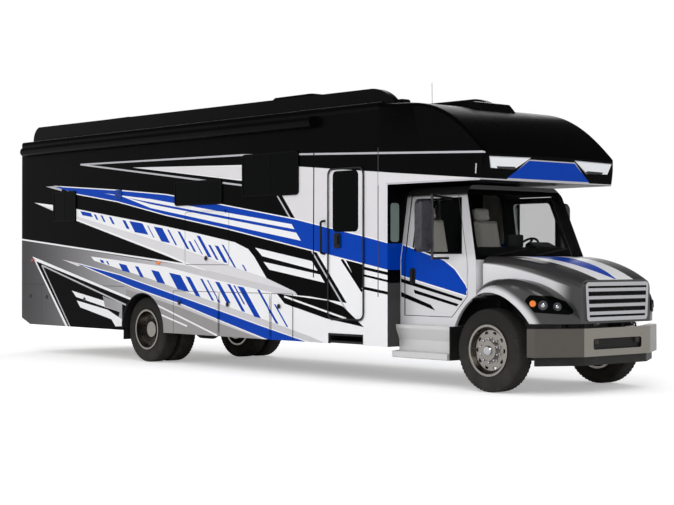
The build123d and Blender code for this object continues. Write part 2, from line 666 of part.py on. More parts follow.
def hitch_receiver():
    """A square receiver tube on a cross tube, hung from the rails by two plates."""
    x, half, inner = HITCH["mouth"], HITCH["outer"] / 2, HITCH["inner"] / 2
    z, tall = HITCH["z"], HITCH["cross_half"]
    back, edge = x + HITCH["length"], RAIL_OUTER + HITCH["plate"]
    solid = block((x, back), (-half, half), (z - half, z + half))
    solid += block((back, back + HITCH["cross"]), (-edge, edge), (z - tall, z + tall))
    for side in (-1, 1):
        heights = (z - tall, RAIL_TOP_Z - HITCH["plate_top"])
        solid += block((back, back + HITCH["plate_length"]), (side * RAIL_OUTER, side * edge), heights)
    solid -= block((x - 1, back - HITCH["end"]), (-inner, inner), (z - inner, z + inner))
    pin_x = x + HITCH["pin_back"]
    return solid - rod((pin_x, -2 * half, z), (pin_x, 2 * half, z), HITCH["pin_radius"])


# Ladder frame, engine and running gear

def chassis_frame():
    """Two channel rails, their crossmembers and the bumper's arms."""
    low, inner = RAIL_TOP_Z - RAIL_HEIGHT, RAIL_OUTER - RAIL_FLANGE
    frame = None
    for side in (-1, 1):
        band = (side * inner, side * RAIL_OUTER)
        hollow = (side * (inner - 1), side * (RAIL_OUTER - RAIL_PLATE))
        rail = block((RAIL_REAR_X, RAIL_FRONT_X), band, (low, RAIL_TOP_Z))
        web = (low + RAIL_PLATE, RAIL_TOP_Z - RAIL_PLATE)
        rail -= block((RAIL_REAR_X - 1, RAIL_FRONT_X + 1), hollow, web)
        root = RAIL_FRONT_X - BUMPER_ARM["root"]
        rail += block((root, RAIL_FRONT_X), band, (BUMPER_ARM["low"], low + 1))
        rail += block((root, FRONT_X - BUMPER_SHEET), band, (BUMPER_ARM["low"], BUMPER_ARM["high"]))
        frame = rail if frame is None else frame + rail
    reach, half = RAIL_OUTER - RAIL_PLATE / 2, CROSSMEMBER_WIDTH / 2
    heights = (low + CROSSMEMBER_LOW, RAIL_TOP_Z - CROSSMEMBER_HIGH)
    for back in CROSSMEMBERS:
        frame += block((station(back) - half, station(back) + half), (-reach, reach), heights)
    return frame


def engine():
    inner = RAIL_OUTER - RAIL_FLANGE
    x = (station(ENGINE["rear"]), station(ENGINE["front"]))
    return block(x, (-inner, inner), (ENGINE["low"], ENGINE["high"]))


def fuel_tank():
    x = (station(TANK["rear"]), station(TANK["front"]))
    y = RAIL_OUTER + TANK["radius"] + TANK["gap"]
    tank = prism_yz(Pos(y, TANK["z"]) * Circle(TANK["radius"]), x)
    for middle in (x[0] + TANK_STRAP["inset"], x[1] - TANK_STRAP["inset"]):
        strap = (middle - TANK_STRAP["half"], middle + TANK_STRAP["half"])
        tank += block(strap, (RAIL_OUTER, y), (TANK_STRAP["low"], TANK_STRAP["high"]))
    return tank


def front_axle():
    """A dropped beam with a bored eye at each end for the kingpins."""
    z, low = TYRE_RADIUS, TYRE_RADIUS - BEAM_DROP - BEAM_DEPTH / 2
    top, eye, y = low + BEAM_DEPTH, EYE_HEIGHT / 2, KINGPIN_Y
    right = [(y - BEAM_KNEES["low"], low), (y - BEAM_KNEES["lower_eye"], z - eye), (y, z - eye), (y, z + eye),
             (y - BEAM_KNEES["upper_eye"], z + eye), (y - BEAM_KNEES["top"], top)]
    left = [(-y, h) for y, h in reversed(right)]
    beam = prism_yz(polygon(*right, *left), (FRONT_AXLE_X - BEAM_WIDTH / 2, FRONT_AXLE_X + BEAM_WIDTH / 2))
    for side in (-1, 1):
        beam += prism_xy(Pos(FRONT_AXLE_X, side * KINGPIN_Y) * Circle(EYE_RADIUS), (z - eye, z + eye))
    for side in (-1, 1):
        bore = Pos(FRONT_AXLE_X, side * KINGPIN_Y) * Circle(KINGPIN_RADIUS + BEARING_CLEARANCE)
        beam -= prism_xy(bore, (z - 2 * eye, z + 2 * eye))
    return beam


def knuckle():
    """The right steering knuckle: a fork on the kingpin and the wheel's spindle."""
    y, z, eye = -KINGPIN_Y, TYRE_RADIUS, EYE_HEIGHT / 2 + KNUCKLE_PLATE["lift"]
    x = (FRONT_AXLE_X - EYE_RADIUS, FRONT_AXLE_X + EYE_RADIUS)
    plate = (y - EYE_RADIUS - KNUCKLE_PLATE["gap"], y - EYE_RADIUS - KNUCKLE_PLATE["back"])
    pin = (z - eye - LUG_HEIGHT, z + eye + LUG_HEIGHT)
    solid = block(x, plate, pin)
    for low in (z + eye, z - eye - LUG_HEIGHT):
        solid += prism_xy(Pos(FRONT_AXLE_X, y) * Circle(EYE_RADIUS), (low, low + LUG_HEIGHT))
        solid += block(x, (y, plate[1]), (low, low + LUG_HEIGHT))
    solid += prism_xy(Pos(FRONT_AXLE_X, y) * Circle(KINGPIN_RADIUS), pin)
    spindle = (plate[1] + 1, -FRONT_WHEEL_Y - SPINDLE_REACH)
    return solid + wheel_cylinder(FRONT_AXLE_X, SPINDLE_RADIUS, spindle)


def rear_axle():
    """The driven axle's tube, its round housing with the pinion nose, spindles and spring seats."""
    x, z = REAR_AXLE_X, TYRE_RADIUS
    axle = wheel_cylinder(x, AXLE["tube"], (-AXLE["half"], AXLE["half"]))
    axle += wheel_cylinder(x, SPINDLE_RADIUS, (-REAR_OUTER_WHEEL_Y, REAR_OUTER_WHEEL_Y))
    housing = (x - AXLE["housing_half"], x + AXLE["housing_half"])
    axle += prism_yz(Pos(0, z) * Circle(AXLE["housing"]), housing)
    axle += prism_yz(Pos(0, z) * Circle(AXLE["nose"]), (x, x + AXLE["nose_reach"]))
    for side in (-1, 1):
        y = (side * (RAIL_OUTER - RAIL_FLANGE), side * RAIL_OUTER)
        axle += block((x - AXLE["seat_half"], x + AXLE["seat_half"]), y, (z, AXLE["seat_z"]))
    return axle


def driveshaft():
    """The tube from the gearbox to the rear axle's nose, in X between the two faces."""
    nose, gearbox = REAR_AXLE_X + AXLE["nose_reach"], station(ENGINE["rear"])
    start = (nose - SHAFT["reach"], 0, TYRE_RADIUS)
    end = (gearbox + SHAFT["reach"], 0, ENGINE["low"] + SHAFT["gearbox"])
    between = block((nose - SHAFT["lap"], gearbox), (-RAIL_OUTER, RAIL_OUTER), (0, RAIL_TOP_Z))
    return rod(start, end, SHAFT["radius"]) & between


def leaf_springs():
    """Four spring packs, each sagging from its hangers to its axle."""
    springs = []
    hang, width = RAIL_TOP_Z - RAIL_HEIGHT, SPRING_HANGER["width"]
    eye = hang - SPRING_HANGER["drop"]
    for row in SPRINGS:
        x, seat, thick = row["x"], row["seat"], row["thick"]
        rear, front = x - row["half"], x + row["half"]
        face = make_face([
            ThreePointArc((rear, eye), (x, seat), (front, eye)),
            Line((front, eye), (front, eye + thick)),
            ThreePointArc((front, eye + thick), (x, seat + thick), (rear, eye + thick)),
            Line((rear, eye + thick), (rear, eye)),
        ])
        for side in (-1, 1):
            inset = SPRING_HANGER["inset"]
            y = (side * (RAIL_OUTER - RAIL_FLANGE + inset), side * (RAIL_OUTER - inset))
            spring = prism_xz(face, y)
            spring += block((rear, rear + width), y, (eye, hang))
            spring += block((front - width, front), y, (eye, hang))
            springs.append(spring)
    return Compound(children=springs)


def spun(face, x):
    """A sketch in (Y, distance from the wheel's axis), turned about that axis."""
    plane = Plane(origin=(x, 0, TYRE_RADIUS), x_dir=(0, 1, 0), z_dir=(1, 0, 0))
    return revolve(plane * face, Axis((x, 0, TYRE_RADIUS), (0, 1, 0)), 360)


def tyre(x, y):
    bead, tread, half = BEAD_WIDTH / 2, TREAD_WIDTH / 2, TYRE_WIDTH / 2
    right = [(y + bead, BEAD_RADIUS), (y + half, SHOULDER_RADIUS), (y + tread, TYRE_RADIUS)]
    left = [(y - tread, TYRE_RADIUS), (y - half, SHOULDER_RADIUS), (y - bead, BEAD_RADIUS)]
    return spun(polygon(*right, *left), x)


def rim(x, y, face, outward):
    """A rim's barrel and flanges, with a disc whose flat lies off the rim's middle by 'face'."""
    seat, bead = BEAD_RADIUS - REST_GAP, BEAD_WIDTH / 2 + FLANGE_GAP
    edge, lip = bead + RIM_FLANGE, seat + RIM_FLANGE
    inner = seat - RIM_WALL
    barrel = polygon((y - edge, inner), (y + edge, inner), (y + edge, lip), (y + bead, lip),
                     (y + bead, seat), (y - bead, seat), (y - bead, lip), (y - edge, lip))
    flat, root = y + outward * face, y + outward * face * RIM_DISH
    back = -outward * DISC
    knee, foot = HAND_HOLE_CIRCLE + HAND_HOLE_RADIUS + DISC_KNEE, inner + RIM_LAP
    disc = polygon((root, foot), (flat, knee), (flat, DISC_BORE),
                   (flat + back, DISC_BORE), (flat + back, knee), (root + back, foot))
    solid = spun(barrel, x) + spun(disc, x)
    for n in range(HAND_HOLES):
        angle = 2 * pi * n / HAND_HOLES
        at = x + HAND_HOLE_CIRCLE * cos(angle), TYRE_RADIUS + HAND_HOLE_CIRCLE * sin(angle)
        solid -= prism_xz(Pos(*at) * Circle(HAND_HOLE_RADIUS), (flat + 2 * DISC, flat - 3 * DISC))
    return solid


def hub(x, parts, bore):
    """Stacked rings of one hub from (start, end, outer radius, inner radius), bored for its spindle."""
    solid = None
    for start, end, outer, inner in parts:
        section = Rectangle(abs(end - start), outer - inner)
        ring = spun(Pos((start + end) / 2, (outer + inner) / 2) * section, x)
        solid = ring if solid is None else solid + ring
    return solid - wheel_cylinder(x, SPINDLE_RADIUS + BEARING_CLEARANCE, bore)


def front_wheel():
    """The right front wheel: a rim whose disc is dished outward, with hub, cap and drum."""
    y, flat = -FRONT_WHEEL_Y, -FRONT_WHEEL_Y - FRONT_DISC
    inboard, plate = y + HUB_INBOARD, flat + DISC
    rings = (
        (inboard, flat - HUB_FACE, HUB_RADIUS, 0),
        (inboard + DRUM_SET, plate, DRUM_RADIUS, DRUM_RADIUS - DRUM_SHEET),
        (flat + 1, plate + DRUM_BACK, DRUM_RADIUS, HUB_RADIUS - DRUM_SET),
    )
    bore = (inboard + BORE_START, y - SPINDLE_REACH - BORE_END)
    return rim(FRONT_AXLE_X, y, FRONT_DISC, -1) + hub(FRONT_AXLE_X, rings, bore)


def rear_wheels():
    """The right rear pair: two rims set back to back on one hub and drum."""
    outer, inner = -REAR_OUTER_WHEEL_Y, -REAR_OUTER_WHEEL_Y + DUAL_SPACING
    middle, inboard = (outer + inner) / 2, -AXLE["half"] - BORE_END
    rings = (
        (inboard, outer - HUB_STUB, HUB_RADIUS, 0),
        (inboard + DRUM_SET, middle, DRUM_RADIUS, DRUM_RADIUS - DRUM_SHEET),
        (middle + DISC + DRUM_BACK, middle, DRUM_RADIUS, HUB_RADIUS - DRUM_SET),
    )
    bore = (inboard + BORE_START, outer - BORE_END)
    pair = rim(REAR_AXLE_X, outer, DUAL_SPACING / 2, 1) + rim(REAR_AXLE_X, inner, DUAL_SPACING / 2, -1)
    return pair + hub(REAR_AXLE_X, rings, bore)


def rear_tyres():
    outer = -REAR_OUTER_WHEEL_Y
    return Compound(children=[tyre(REAR_AXLE_X, outer), tyre(REAR_AXLE_X, outer + DUAL_SPACING)])


def wheel_liners():
    """Rear arch liners, mud flaps behind the rear wheels and splash shields behind the front ones."""
    solids = []
    above = block((REAR_X, FRONT_X), (-HOUSE_WIDTH, HOUSE_WIDTH), (TYRE_RADIUS, ROOF_TOP_Z))
    for side in (-1, 1):
        y = (side * LINER_INNER, side * (HOUSE_HALF - 1))
        ring = wheel_cylinder(REAR_AXLE_X, REAR_ARCH_RADIUS, y)
        ring -= wheel_cylinder(REAR_AXLE_X, REAR_ARCH_RADIUS - LINER, y)
        solids.append(ring & above)
        flap = REAR_AXLE_X - REAR_ARCH_RADIUS - FLAP["gap"]
        y = (side * FLAP["inner"], side * (HOUSE_HALF - WALL))
        solids.append(block((flap - FLAP["sheet"], flap), y, (FLAP["low"], RAIL_TOP_Z)))
        x = station(STEPS["front"])
        y = (side * SHIELD["inner"], side * SHIELD["outer"])
        solids.append(block((x, x + SHIELD["sheet"]), y, (STEPS["low"], CAB_SILL_Z)))
    return Compound(children=solids)


# Truck cab

def cab_section(inset):
    """The cab's cross-section in Y and Z: upright to the belt, leaning in above it, round at the roof."""
    floor = CAB_SILL_Z if not inset else CAB_FLOOR_Z
    half, roof_half = CAB_HALF - inset, CAB_ROOF_HALF - inset
    edge = roof_half - CAB_ROOF_EDGE
    right = [(half, floor), (half, BELT_Z), (roof_half, CAB_SHOULDER_Z), (edge, CAB_ROOF_Z - inset)]
    left = [(-y, z) for y, z in reversed(right)]
    face = polygon(*right, *left)
    if inset:
        return face
    upper = [corner for corner in face.vertices() if corner.Y > CAB_SHOULDER_Z - 1]
    return fillet(upper, CAB_ROOF_RADIUS)


def cab_form(inset):
    """The cab's outside, or its inside when inset, with the raked and bowed windshield."""
    rear = HOUSE_FRONT_X - (1 if inset else 0)
    front = CAB_FRONT_X - inset * CAB_INSET_SHARE
    side = CAB_HALF + CAB_PLAN_OVER
    plan = make_face([
        Polyline((front, side), (rear, side), (rear, -side), (front, -side)),
        ThreePointArc((front, -side), (front + WINDSHIELD_BOW, 0), (front, side)),
    ])
    rise = CAB_ROOF_Z - BELT_Z
    lower = prism_xy(plan, (CAB_SILL_Z, BELT_Z))
    tall = rise * sqrt(1 + WINDSHIELD_RAKE ** 2)
    upper = extrude(Plane.XY.offset(BELT_Z) * plan, tall, dir=(-WINDSHIELD_RAKE, 0, 1))
    return prism_yz(cab_section(inset), (rear, CAB_FRONT_X + OVERCUT)) & (lower + upper)


def door_face(gap=0.0, rear_gap=0.0):
    """A cab door's outline in X and Z: cut back over the wheel and along the windshield post."""
    rear, front = DOOR_REAR_X - rear_gap, DOOR_FRONT_X + gap
    low, high = DOOR_BOTTOM_Z - gap, DOOR_TOP_Z + gap
    post = front - (high - BELT_Z) * WINDSHIELD_RAKE
    return polygon((rear, low), (front - DOOR_CUT, low), (front, low + DOOR_CUT), (front, BELT_Z),
                   (post, high), (rear, high))


def door_window_face(grow=0.0):
    rear, front = DOOR_REAR_X + DOOR_WINDOW["rear"] - grow, DOOR_FRONT_X - DOOR_WINDOW["front"] + grow
    low, high = DOOR_WINDOW["low"] - grow, DOOR_WINDOW["high"] + grow
    face = polygon((rear, low), (front, low), (front - (high - low) * WINDSHIELD_RAKE, high), (rear, high))
    return fillet(face.vertices(), DOOR_WINDOW["corner"] + grow)


def windshield_face(grow=0.0):
    """The windshield's outline in Y and Z."""
    low, high = WINDSHIELD["low"] - grow, WINDSHIELD["high"] + grow
    wide, narrow = WINDSHIELD["low_half"] + grow, WINDSHIELD["high_half"] + grow
    face = polygon((-wide, low), (wide, low), (narrow, high), (-narrow, high))
    return fillet(face.vertices(), WINDSHIELD["corner"] + grow)


def side_slab(side):
    """Y values of everything on one side of the centre line that is not the middle of the cab."""
    return side * CAB_HALF / 2, side * (CAB_HALF + OVERCUT)


def door_zone(side, gap=0.0, rear_gap=0.0):
    """A cab door's share of the shell: the outer skin only, below the floor's top."""
    face = door_face(gap, rear_gap)
    inner = side * (CAB_HALF - CAB_SKIN - gap)
    floor = block((HOUSE_FRONT_X - 1, CAB_FRONT_X + OVERCUT), (0, inner), (0, CAB_FLOOR_Z))
    return prism_xz(face, side_slab(side)) - floor


def wheel_wells(margin):
    """What the front wheels sweep, as two drums to cut away."""
    y = (-FRONT_ARCH["inner"], -FRONT_ARCH["outer"])
    right = wheel_cylinder(FRONT_AXLE_X, FRONT_ARCH_RADIUS + margin, y)
    return right + mirrored(right)


def cab_body():
    """The cab's shell: floor, cowl, posts and roof, with both doorways and the windshield cut out."""
    shell = cab_form(0) - cab_form(CAB_SKIN)
    for side in (-1, 1):
        shell -= door_zone(side, DOOR_GAP, DOOR_REAR_GAP)
    shell -= windshield_zone(0.0)
    tunnel = RAIL_OUTER + TUNNEL_GAP
    shell -= block((HOUSE_FRONT_X - 1, CAB_FRONT_X + OVERCUT), (-tunnel, tunnel), (0, RAIL_TOP_Z))
    x = (HOUSE_FRONT_X + UNDERFLOOR["end"], CAB_FRONT_X - UNDERFLOOR["end"])
    inner, outer = tunnel + UNDERFLOOR["side"], CAB_HALF - CAB_SKIN
    for side in (-1, 1):
        shell -= block(x, (side * inner, side * outer), (0, CAB_FLOOR_Z - UNDERFLOOR["sheet"]))
    return shell - wheel_wells(FRONT_ARCH["margin"])


def windshield_zone(grow):
    """The windshield's outline as a prism through the cab's front."""
    return prism_yz(windshield_face(grow), (CAB_FRONT_X - 2 * OVERCUT, CAB_FRONT_X + OVERCUT))


def cab_door(side):
    panel = (cab_form(0) - cab_form(CAB_SKIN)) & door_zone(side)
    panel -= prism_xz(door_window_face(), side_slab(side))
    for low in CAB_HINGES:
        panel += upright_hinge(DOOR_FRONT_X + DOOR_GAP, side, CAB_HALF, (low, low + 110), -1)
    return panel


def cab_door_glass(side):
    skin = cab_form(PANE_SETBACK) - cab_form(PANE_SETBACK + PANE)
    return skin & prism_xz(door_window_face(-REST_GAP), side_slab(side))


def windshield():
    skin = cab_form(PANE_SETBACK) - cab_form(PANE_SETBACK + PANE)
    return skin & windshield_zone(-REST_GAP)


def door_mirror():
    """The right mirror: a tall rounded head on a bent tube whose feet stand on the door."""
    x, y = station(MIRROR["back"]), -(CAB_HALF + MIRROR["stand_off"])
    top, low, radius = MIRROR["high"], MIRROR["low"], MIRROR["tube"]
    upper_foot = (x + MIRROR["upper_foot"], -CAB_ROOF_HALF + 2 * CAB_SKIN, top - MIRROR["upper_drop"])
    lower_foot = (x + MIRROR["lower_foot"], -CAB_HALF + CAB_SKIN, low)
    solid = rod(upper_foot, (x, y, top), radius) + rod((x, y, low), lower_foot, radius)
    solid += prism_xy(Pos(x, y) * Circle(MIRROR["post"]), (low - MIRROR["post"], top + MIRROR["post"]))
    solid -= cab_form(0)
    width, height = MIRROR["width"], MIRROR["head_high"] - MIRROR["head_low"]
    centre = Pos(y - width / 2, MIRROR["head_low"] + height / 2)
    outline = centre * RectangleRounded(width, height, MIRROR["corner"])
    head = prism_yz(outline, (x - MIRROR["depth"], x + MIRROR["proud"]))
    return solid + chamfer(head.faces().sort_by(Axis.X)[-1].edges(), MIRROR["edge"])


def dashboard():
    """The dash panel across the cab, trimmed to the cab's inside."""
    rear, front = CAB_FRONT_X - DASH["reach"], CAB_FRONT_X
    low, high = DASH["low"], DASH["low"] + DASH["height"]
    edge = low + DASH_EDGE["share"] * DASH["height"]
    face = polygon((front, low), (rear + DASH_EDGE["foot"], low), (rear, edge),
                   (rear + DASH_EDGE["lip"], high - DASH_EDGE["crown"]), (front, high))
    return prism_xz(face, (-DASH["half"], DASH["half"])) & cab_form(CAB_SKIN + REST_GAP)


def steering_wheel():
    """A three-spoked wheel on its column, which runs down into the dash."""
    rear = CAB_FRONT_X - DASH["reach"]
    centre = Vector(rear - WHEEL_RING["back"], DRIVER_Y, DASH["low"] + DASH["height"] + WHEEL_RING["up"])
    lean, radius = Vector(*WHEEL_LEAN), WHEEL_RING["radius"]
    plane = Plane(origin=centre, x_dir=(0, 1, 0), z_dir=lean)
    ring = plane * Torus(radius, WHEEL_RING["grip"])
    ring += extrude(plane * Circle(WHEEL_RING["boss"]), WHEEL_RING["boss_half"], both=True)
    for angle in (0, 180, 270):
        spoke = Pos(radius / 2, 0, 0) * Box(radius, WHEEL_RING["spoke"], WHEEL_RING["spoke_depth"])
        ring += plane * (Rot(0, 0, angle) * spoke)
    return ring + rod(tuple(centre), tuple(centre - lean * WHEEL_RING["column"]), WHEEL_RING["column_radius"])


def cab_seats():
    """Two plain armchairs on boxed bases, bolted to the cab floor."""
    seats = []
    x, z, half = station(SEAT["back"]), SEAT["z"], SEAT["width"] / 2
    for y in (-DRIVER_Y, DRIVER_Y):
        base_y = (y - SEAT_BASE["half"], y + SEAT_BASE["half"])
        seat = block((x + SEAT_BASE["rear"], x + SEAT_BASE["front"]), base_y, (CAB_FLOOR_Z, z))
        cushion = (x + SEAT_CUSHION["rear"], x + SEAT_CUSHION["front"])
        seat += block(cushion, (y - half, y + half), (z, z + SEAT_CUSHION["height"]))
        pivot = Pos(x + SEAT["pivot"], y, z + SEAT["pivot_up"]) * Rot(0, -SEAT["lean"], 0)
        back = Box(SEAT_BACK["depth"], 2 * half, SEAT_BACK["height"])
        seat += pivot * Pos(0, 0, SEAT_BACK["height"] / 2) * back
        head = Box(SEAT_HEAD["depth"], SEAT_HEAD["width"], SEAT_HEAD["height"])
        seats.append(seat + pivot * Pos(0, 0, SEAT_HEAD["up"]) * head)
    return Compound(children=seats)


def cab_steps():
    """The step fairing under each door: two treads in one pressing."""
    rear, front = station(STEPS["rear"]), station(STEPS["front"])
    inner, upper, riser, out, low = (STEPS[key] for key in ("inner", "upper", "riser", "out", "low"))
    face = polygon((-inner, CAB_SILL_Z), (-upper, CAB_SILL_Z), (-upper, STEP_FACE["upper"]),
                   (-riser, STEP_FACE["riser_top"]), (-riser, STEP_FACE["riser_low"]),
                   (-out, STEP_FACE["lip_top"]), (-out, STEP_FACE["lip_low"]),
                   (-out + STEP_FACE["toe"], low), (-inner, low))
    steps = prism_yz(face, (rear, front))
    return Compound(children=[steps, mirrored(steps)])


# Hood, grille, lamps and bumper

def nose_form(inset):
    """The hood's middle: a curved top, with round shoulders, over sides that draw in toward the grille."""
    rear, front, middle = HOOD_REAR_X, GRILLE_X - inset, HOOD_MID_X
    tail, nose = (rear, HOOD_TOP["rear"] - inset), (GRILLE_X, HOOD_TOP["front"] - inset)
    side = make_face([
        ThreePointArc(tail, (middle, HOOD_TOP["middle"] - inset), nose),
        Polyline(nose, (GRILLE_X, HOOD_LOW_Z), (rear, HOOD_LOW_Z), tail),
    ])
    half = HOOD_REAR_HALF - inset, HOOD_MID_HALF - inset, HOOD_FRONT_HALF - inset
    plan = make_face([
        ThreePointArc((rear, half[0]), (middle, half[1]), (front, half[2])),
        Line((front, half[2]), (front, -half[2])),
        ThreePointArc((front, -half[2]), (middle, -half[1]), (rear, -half[0])),
        Line((rear, -half[0]), (rear, half[0])),
    ])
    form = prism_xz(side, (-FENDER_HALF, FENDER_HALF)) & prism_xy(plan, (0, 2 * HOOD_TOP["rear"]))
    return fillet(brow_edges(form), HOOD_TOP["edge"] - inset)


def brow_edges(form):
    """The edges that run along the tops of a nose's or fender's outer sides."""
    boxes = [(edge, edge.bounding_box()) for edge in form.edges()]
    return [edge for edge, box in boxes if box.size.X > 1 and box.min.Z > HOOD_LOW_Z + 1
            and min(abs(box.min.Y), abs(box.max.Y)) > HOOD_FRONT_HALF / 2]


def fender_form(inset):
    """The right fender: a round-edged arch over the wheel that turns in to meet the grille."""
    x, rear, front = FRONT_AXLE_X, HOOD_REAR_X, GRILLE_X - inset
    top, out = FENDER["top"] - inset, FENDER_HALF - inset
    tail, nose = (rear, top - FENDER["rear_drop"]), (front, top - FENDER["front_drop"])
    crown = (x + FENDER["crown"], top)
    side = make_face([
        ThreePointArc(tail, (x + FENDER["shoulder"], top - FENDER["shoulder_drop"]), crown),
        ThreePointArc(crown, (x + FENDER["brow"], top - FENDER["brow_drop"]), nose),
        Polyline(nose, (front, HOOD_LOW_Z), (rear, HOOD_LOW_Z), tail),
    ])
    tail, nose = (rear, -out + FENDER["rear_in"]), (front, -HOOD_FRONT_HALF + inset + FENDER["nose_in"])
    widest = (x + FENDER["widest"], -out)
    plan = make_face([
        ThreePointArc(tail, (x + FENDER["side"], -out + FENDER["side_in"]), widest),
        ThreePointArc(widest, (x + FENDER["turn"], -out + FENDER["turn_in"]), nose),
        Polyline(nose, (front, 0), (rear, 0), tail),
    ])
    form = prism_xz(side, (0, -FENDER_HALF + inset)) & prism_xy(plan, (0, 2 * FENDER["top"]))
    return fillet(brow_edges(form), FENDER["edge"] - inset)


def hood_form(inset):
    fender = fender_form(inset)
    return nose_form(inset) + fender + mirrored(fender)


def hood():
    """The one-piece hood and fenders: a shell, open below and behind, on two front barrels."""
    shell = hood_form(0) - hood_form(HOOD_SHELL)
    shell -= wheel_wells(0)
    shell -= prism_yz(grille_face(-GRILLE_LAP), (GRILLE_X - 2 * HOOD_SHELL, GRILLE_X + HOOD_SHELL))
    pivot, radius = Pos(HOOD_PIVOT_X, HOOD_PIVOT_Z), HOOD_BARREL["radius"]
    for side in (-1, 1):
        y = (side * HOOD_BARREL["inner"], side * HOOD_BARREL["outer"])
        shell += prism_xz(pivot * Circle(radius), y)
        leaf = (HOOD_PIVOT_Z, HOOD_LOW_Z + HOOD_BARREL["leaf"])
        shell += block((HOOD_PIVOT_X - radius, HOOD_PIVOT_X), y, leaf)
        shell -= prism_xz(pivot * Circle(HOOD_BARREL["pin"] + BEARING_CLEARANCE), y)
    return shell


def grille_face(grow):
    """The grille's outline in Y and Z, wider at its top."""
    low, high = GRILLE["low"] - grow, GRILLE["high"] + grow
    face = polygon((-GRILLE["low_half"] - grow, low), (GRILLE["low_half"] + grow, low),
                   (GRILLE["high_half"] + grow, high), (-GRILLE["high_half"] - grow, high))
    return fillet(face.vertices(), GRILLE["corner"] + grow)


def grille():
    """A bright surround with level bars, each drawn in at its front, over a back plate."""
    border, rear = GRILLE["border"], GRILLE_X
    field = grille_face(1 - border)
    solid = prism_yz(grille_face(0), (rear, rear + GRILLE["depth"]))
    solid -= prism_yz(grille_face(-border), (rear - 1, rear + 2 * GRILLE["depth"]))
    solid += prism_yz(field, (rear, rear + GRILLE["plate"]))
    low, span = GRILLE["low"] + border, GRILLE["high"] - GRILLE["low"] - 2 * border
    zone = prism_yz(field, (rear, rear + GRILLE["depth"]))
    tip, half, nose = rear + GRILLE["bar_depth"], GRILLE["bar"] / 2, GRILLE["nose"] / 2
    for n in range(GRILLE["bars"]):
        z = low + span * (n + 0.5) / GRILLE["bars"]
        face = polygon((rear, z - half), (tip, z - nose), (tip, z + nose), (rear, z + half))
        solid += prism_xz(face, (-GRILLE["high_half"], GRILLE["high_half"])) & zone
    return solid


def bumper_plan(front, half, face_half, back):
    """A swept-back strip in X and Y, round where its face meets its wings."""
    wing, lap = front - BUMPER_SWEEP, face_half - BUMPER_LAP
    face = polygon((front, -face_half), (front, face_half), (wing, half), (wing - back, half),
                   (front - back, lap), (front - back, -lap), (wing - back, -half), (wing, -half))
    return fillet(face.vertices().group_by(Axis.X)[-1], BUMPER_CORNER)


def bumper():
    """A pressed channel with swept ends, a slot in the middle and the hood's two pivot pins."""
    sheet = BUMPER_SHEET
    plan = bumper_plan(FRONT_X, BUMPER_HALF, BUMPER_FACE_HALF, BUMPER_DEPTH)
    solid = prism_xy(plan, (BUMPER_LOW_Z, BUMPER_TOP_Z))
    hollow = bumper_plan(FRONT_X - sheet, BUMPER_HALF - sheet, BUMPER_FACE_HALF - BUMPER_INNER["face"],
                         BUMPER_DEPTH + BUMPER_INNER["back"])
    solid -= prism_xy(hollow, (BUMPER_LOW_Z + sheet, BUMPER_TOP_Z - sheet))
    slot = RectangleRounded(2 * BUMPER_SLOT["half"], BUMPER_SLOT["height"], BUMPER_SLOT["corner"])
    solid -= prism_yz(Pos(0, BUMPER_SLOT["z"]) * slot, (FRONT_X - 2 * sheet, FRONT_X + sheet))
    pivot, reach = Pos(HOOD_PIVOT_X, HOOD_PIVOT_Z), HOOD_BARREL["ear_radius"]
    for side in (-1, 1):
        near = HOOD_BARREL["outer"] + HOOD_BARREL["ear_gap"]
        ear = (side * near, side * (near + HOOD_BARREL["ear"]))
        solid += prism_xz(pivot * Circle(reach), ear)
        solid += block((HOOD_PIVOT_X - reach, HOOD_PIVOT_X + reach), ear, (BUMPER_TOP_Z - 1, HOOD_PIVOT_Z))
        solid += prism_xz(pivot * Circle(HOOD_BARREL["pin"]), (side * HOOD_BARREL["inner"], ear[1]))
    return solid


def bumper_valance():
    half, face_half = BUMPER_HALF - VALANCE["half"], BUMPER_FACE_HALF - VALANCE["face"]
    plan = bumper_plan(FRONT_X - VALANCE["set_back"], half, face_half, VALANCE["sheet"])
    return prism_xy(plan, (VALANCE_LOW_Z, BUMPER_LOW_Z))


def lamp_zone(side):
    """A slanted prism that marks a headlamp's outline on the fender's front corner."""
    origin = (FRONT_AXLE_X + HEADLAMP["x"], side * HEADLAMP["y"], 0)
    plane = Plane(origin=origin, x_dir=(sin(LAMP_TURN), -side * cos(LAMP_TURN), 0),
                  z_dir=(cos(LAMP_TURN), side * sin(LAMP_TURN), 0))
    face = polygon(*LAMP_OUTLINE)
    return extrude(plane * fillet(face.vertices(), HEADLAMP["corner"]), HEADLAMP["reach"])


def headlamps():
    """A lens on each fender's front corner, standing a little proud."""
    fender = fender_form(-HEADLAMP["proud"]) - hood_form(0)
    right = fender & lamp_zone(-1)
    return Compound(children=[right, mirrored(right)])


def cap_lamp_face(side):
    return polygon(*[(side * y, z) for y, z in CAP_LAMP])


def cap_lamps():
    """The slanted marker lamps on the cap's front, standing a little proud."""
    lamps = []
    for side in (-1, 1):
        zone = prism_yz(cap_lamp_face(side), (CAP_NOSE_X - OVERCUT, CAP_NOSE_X + OVERCUT))
        lamps.append((Pos(CAP_LAMP_PROUD, 0, 0) * cap_form(0) & zone) - cap_form(0))
    return Compound(children=lamps)


PARTS = {}


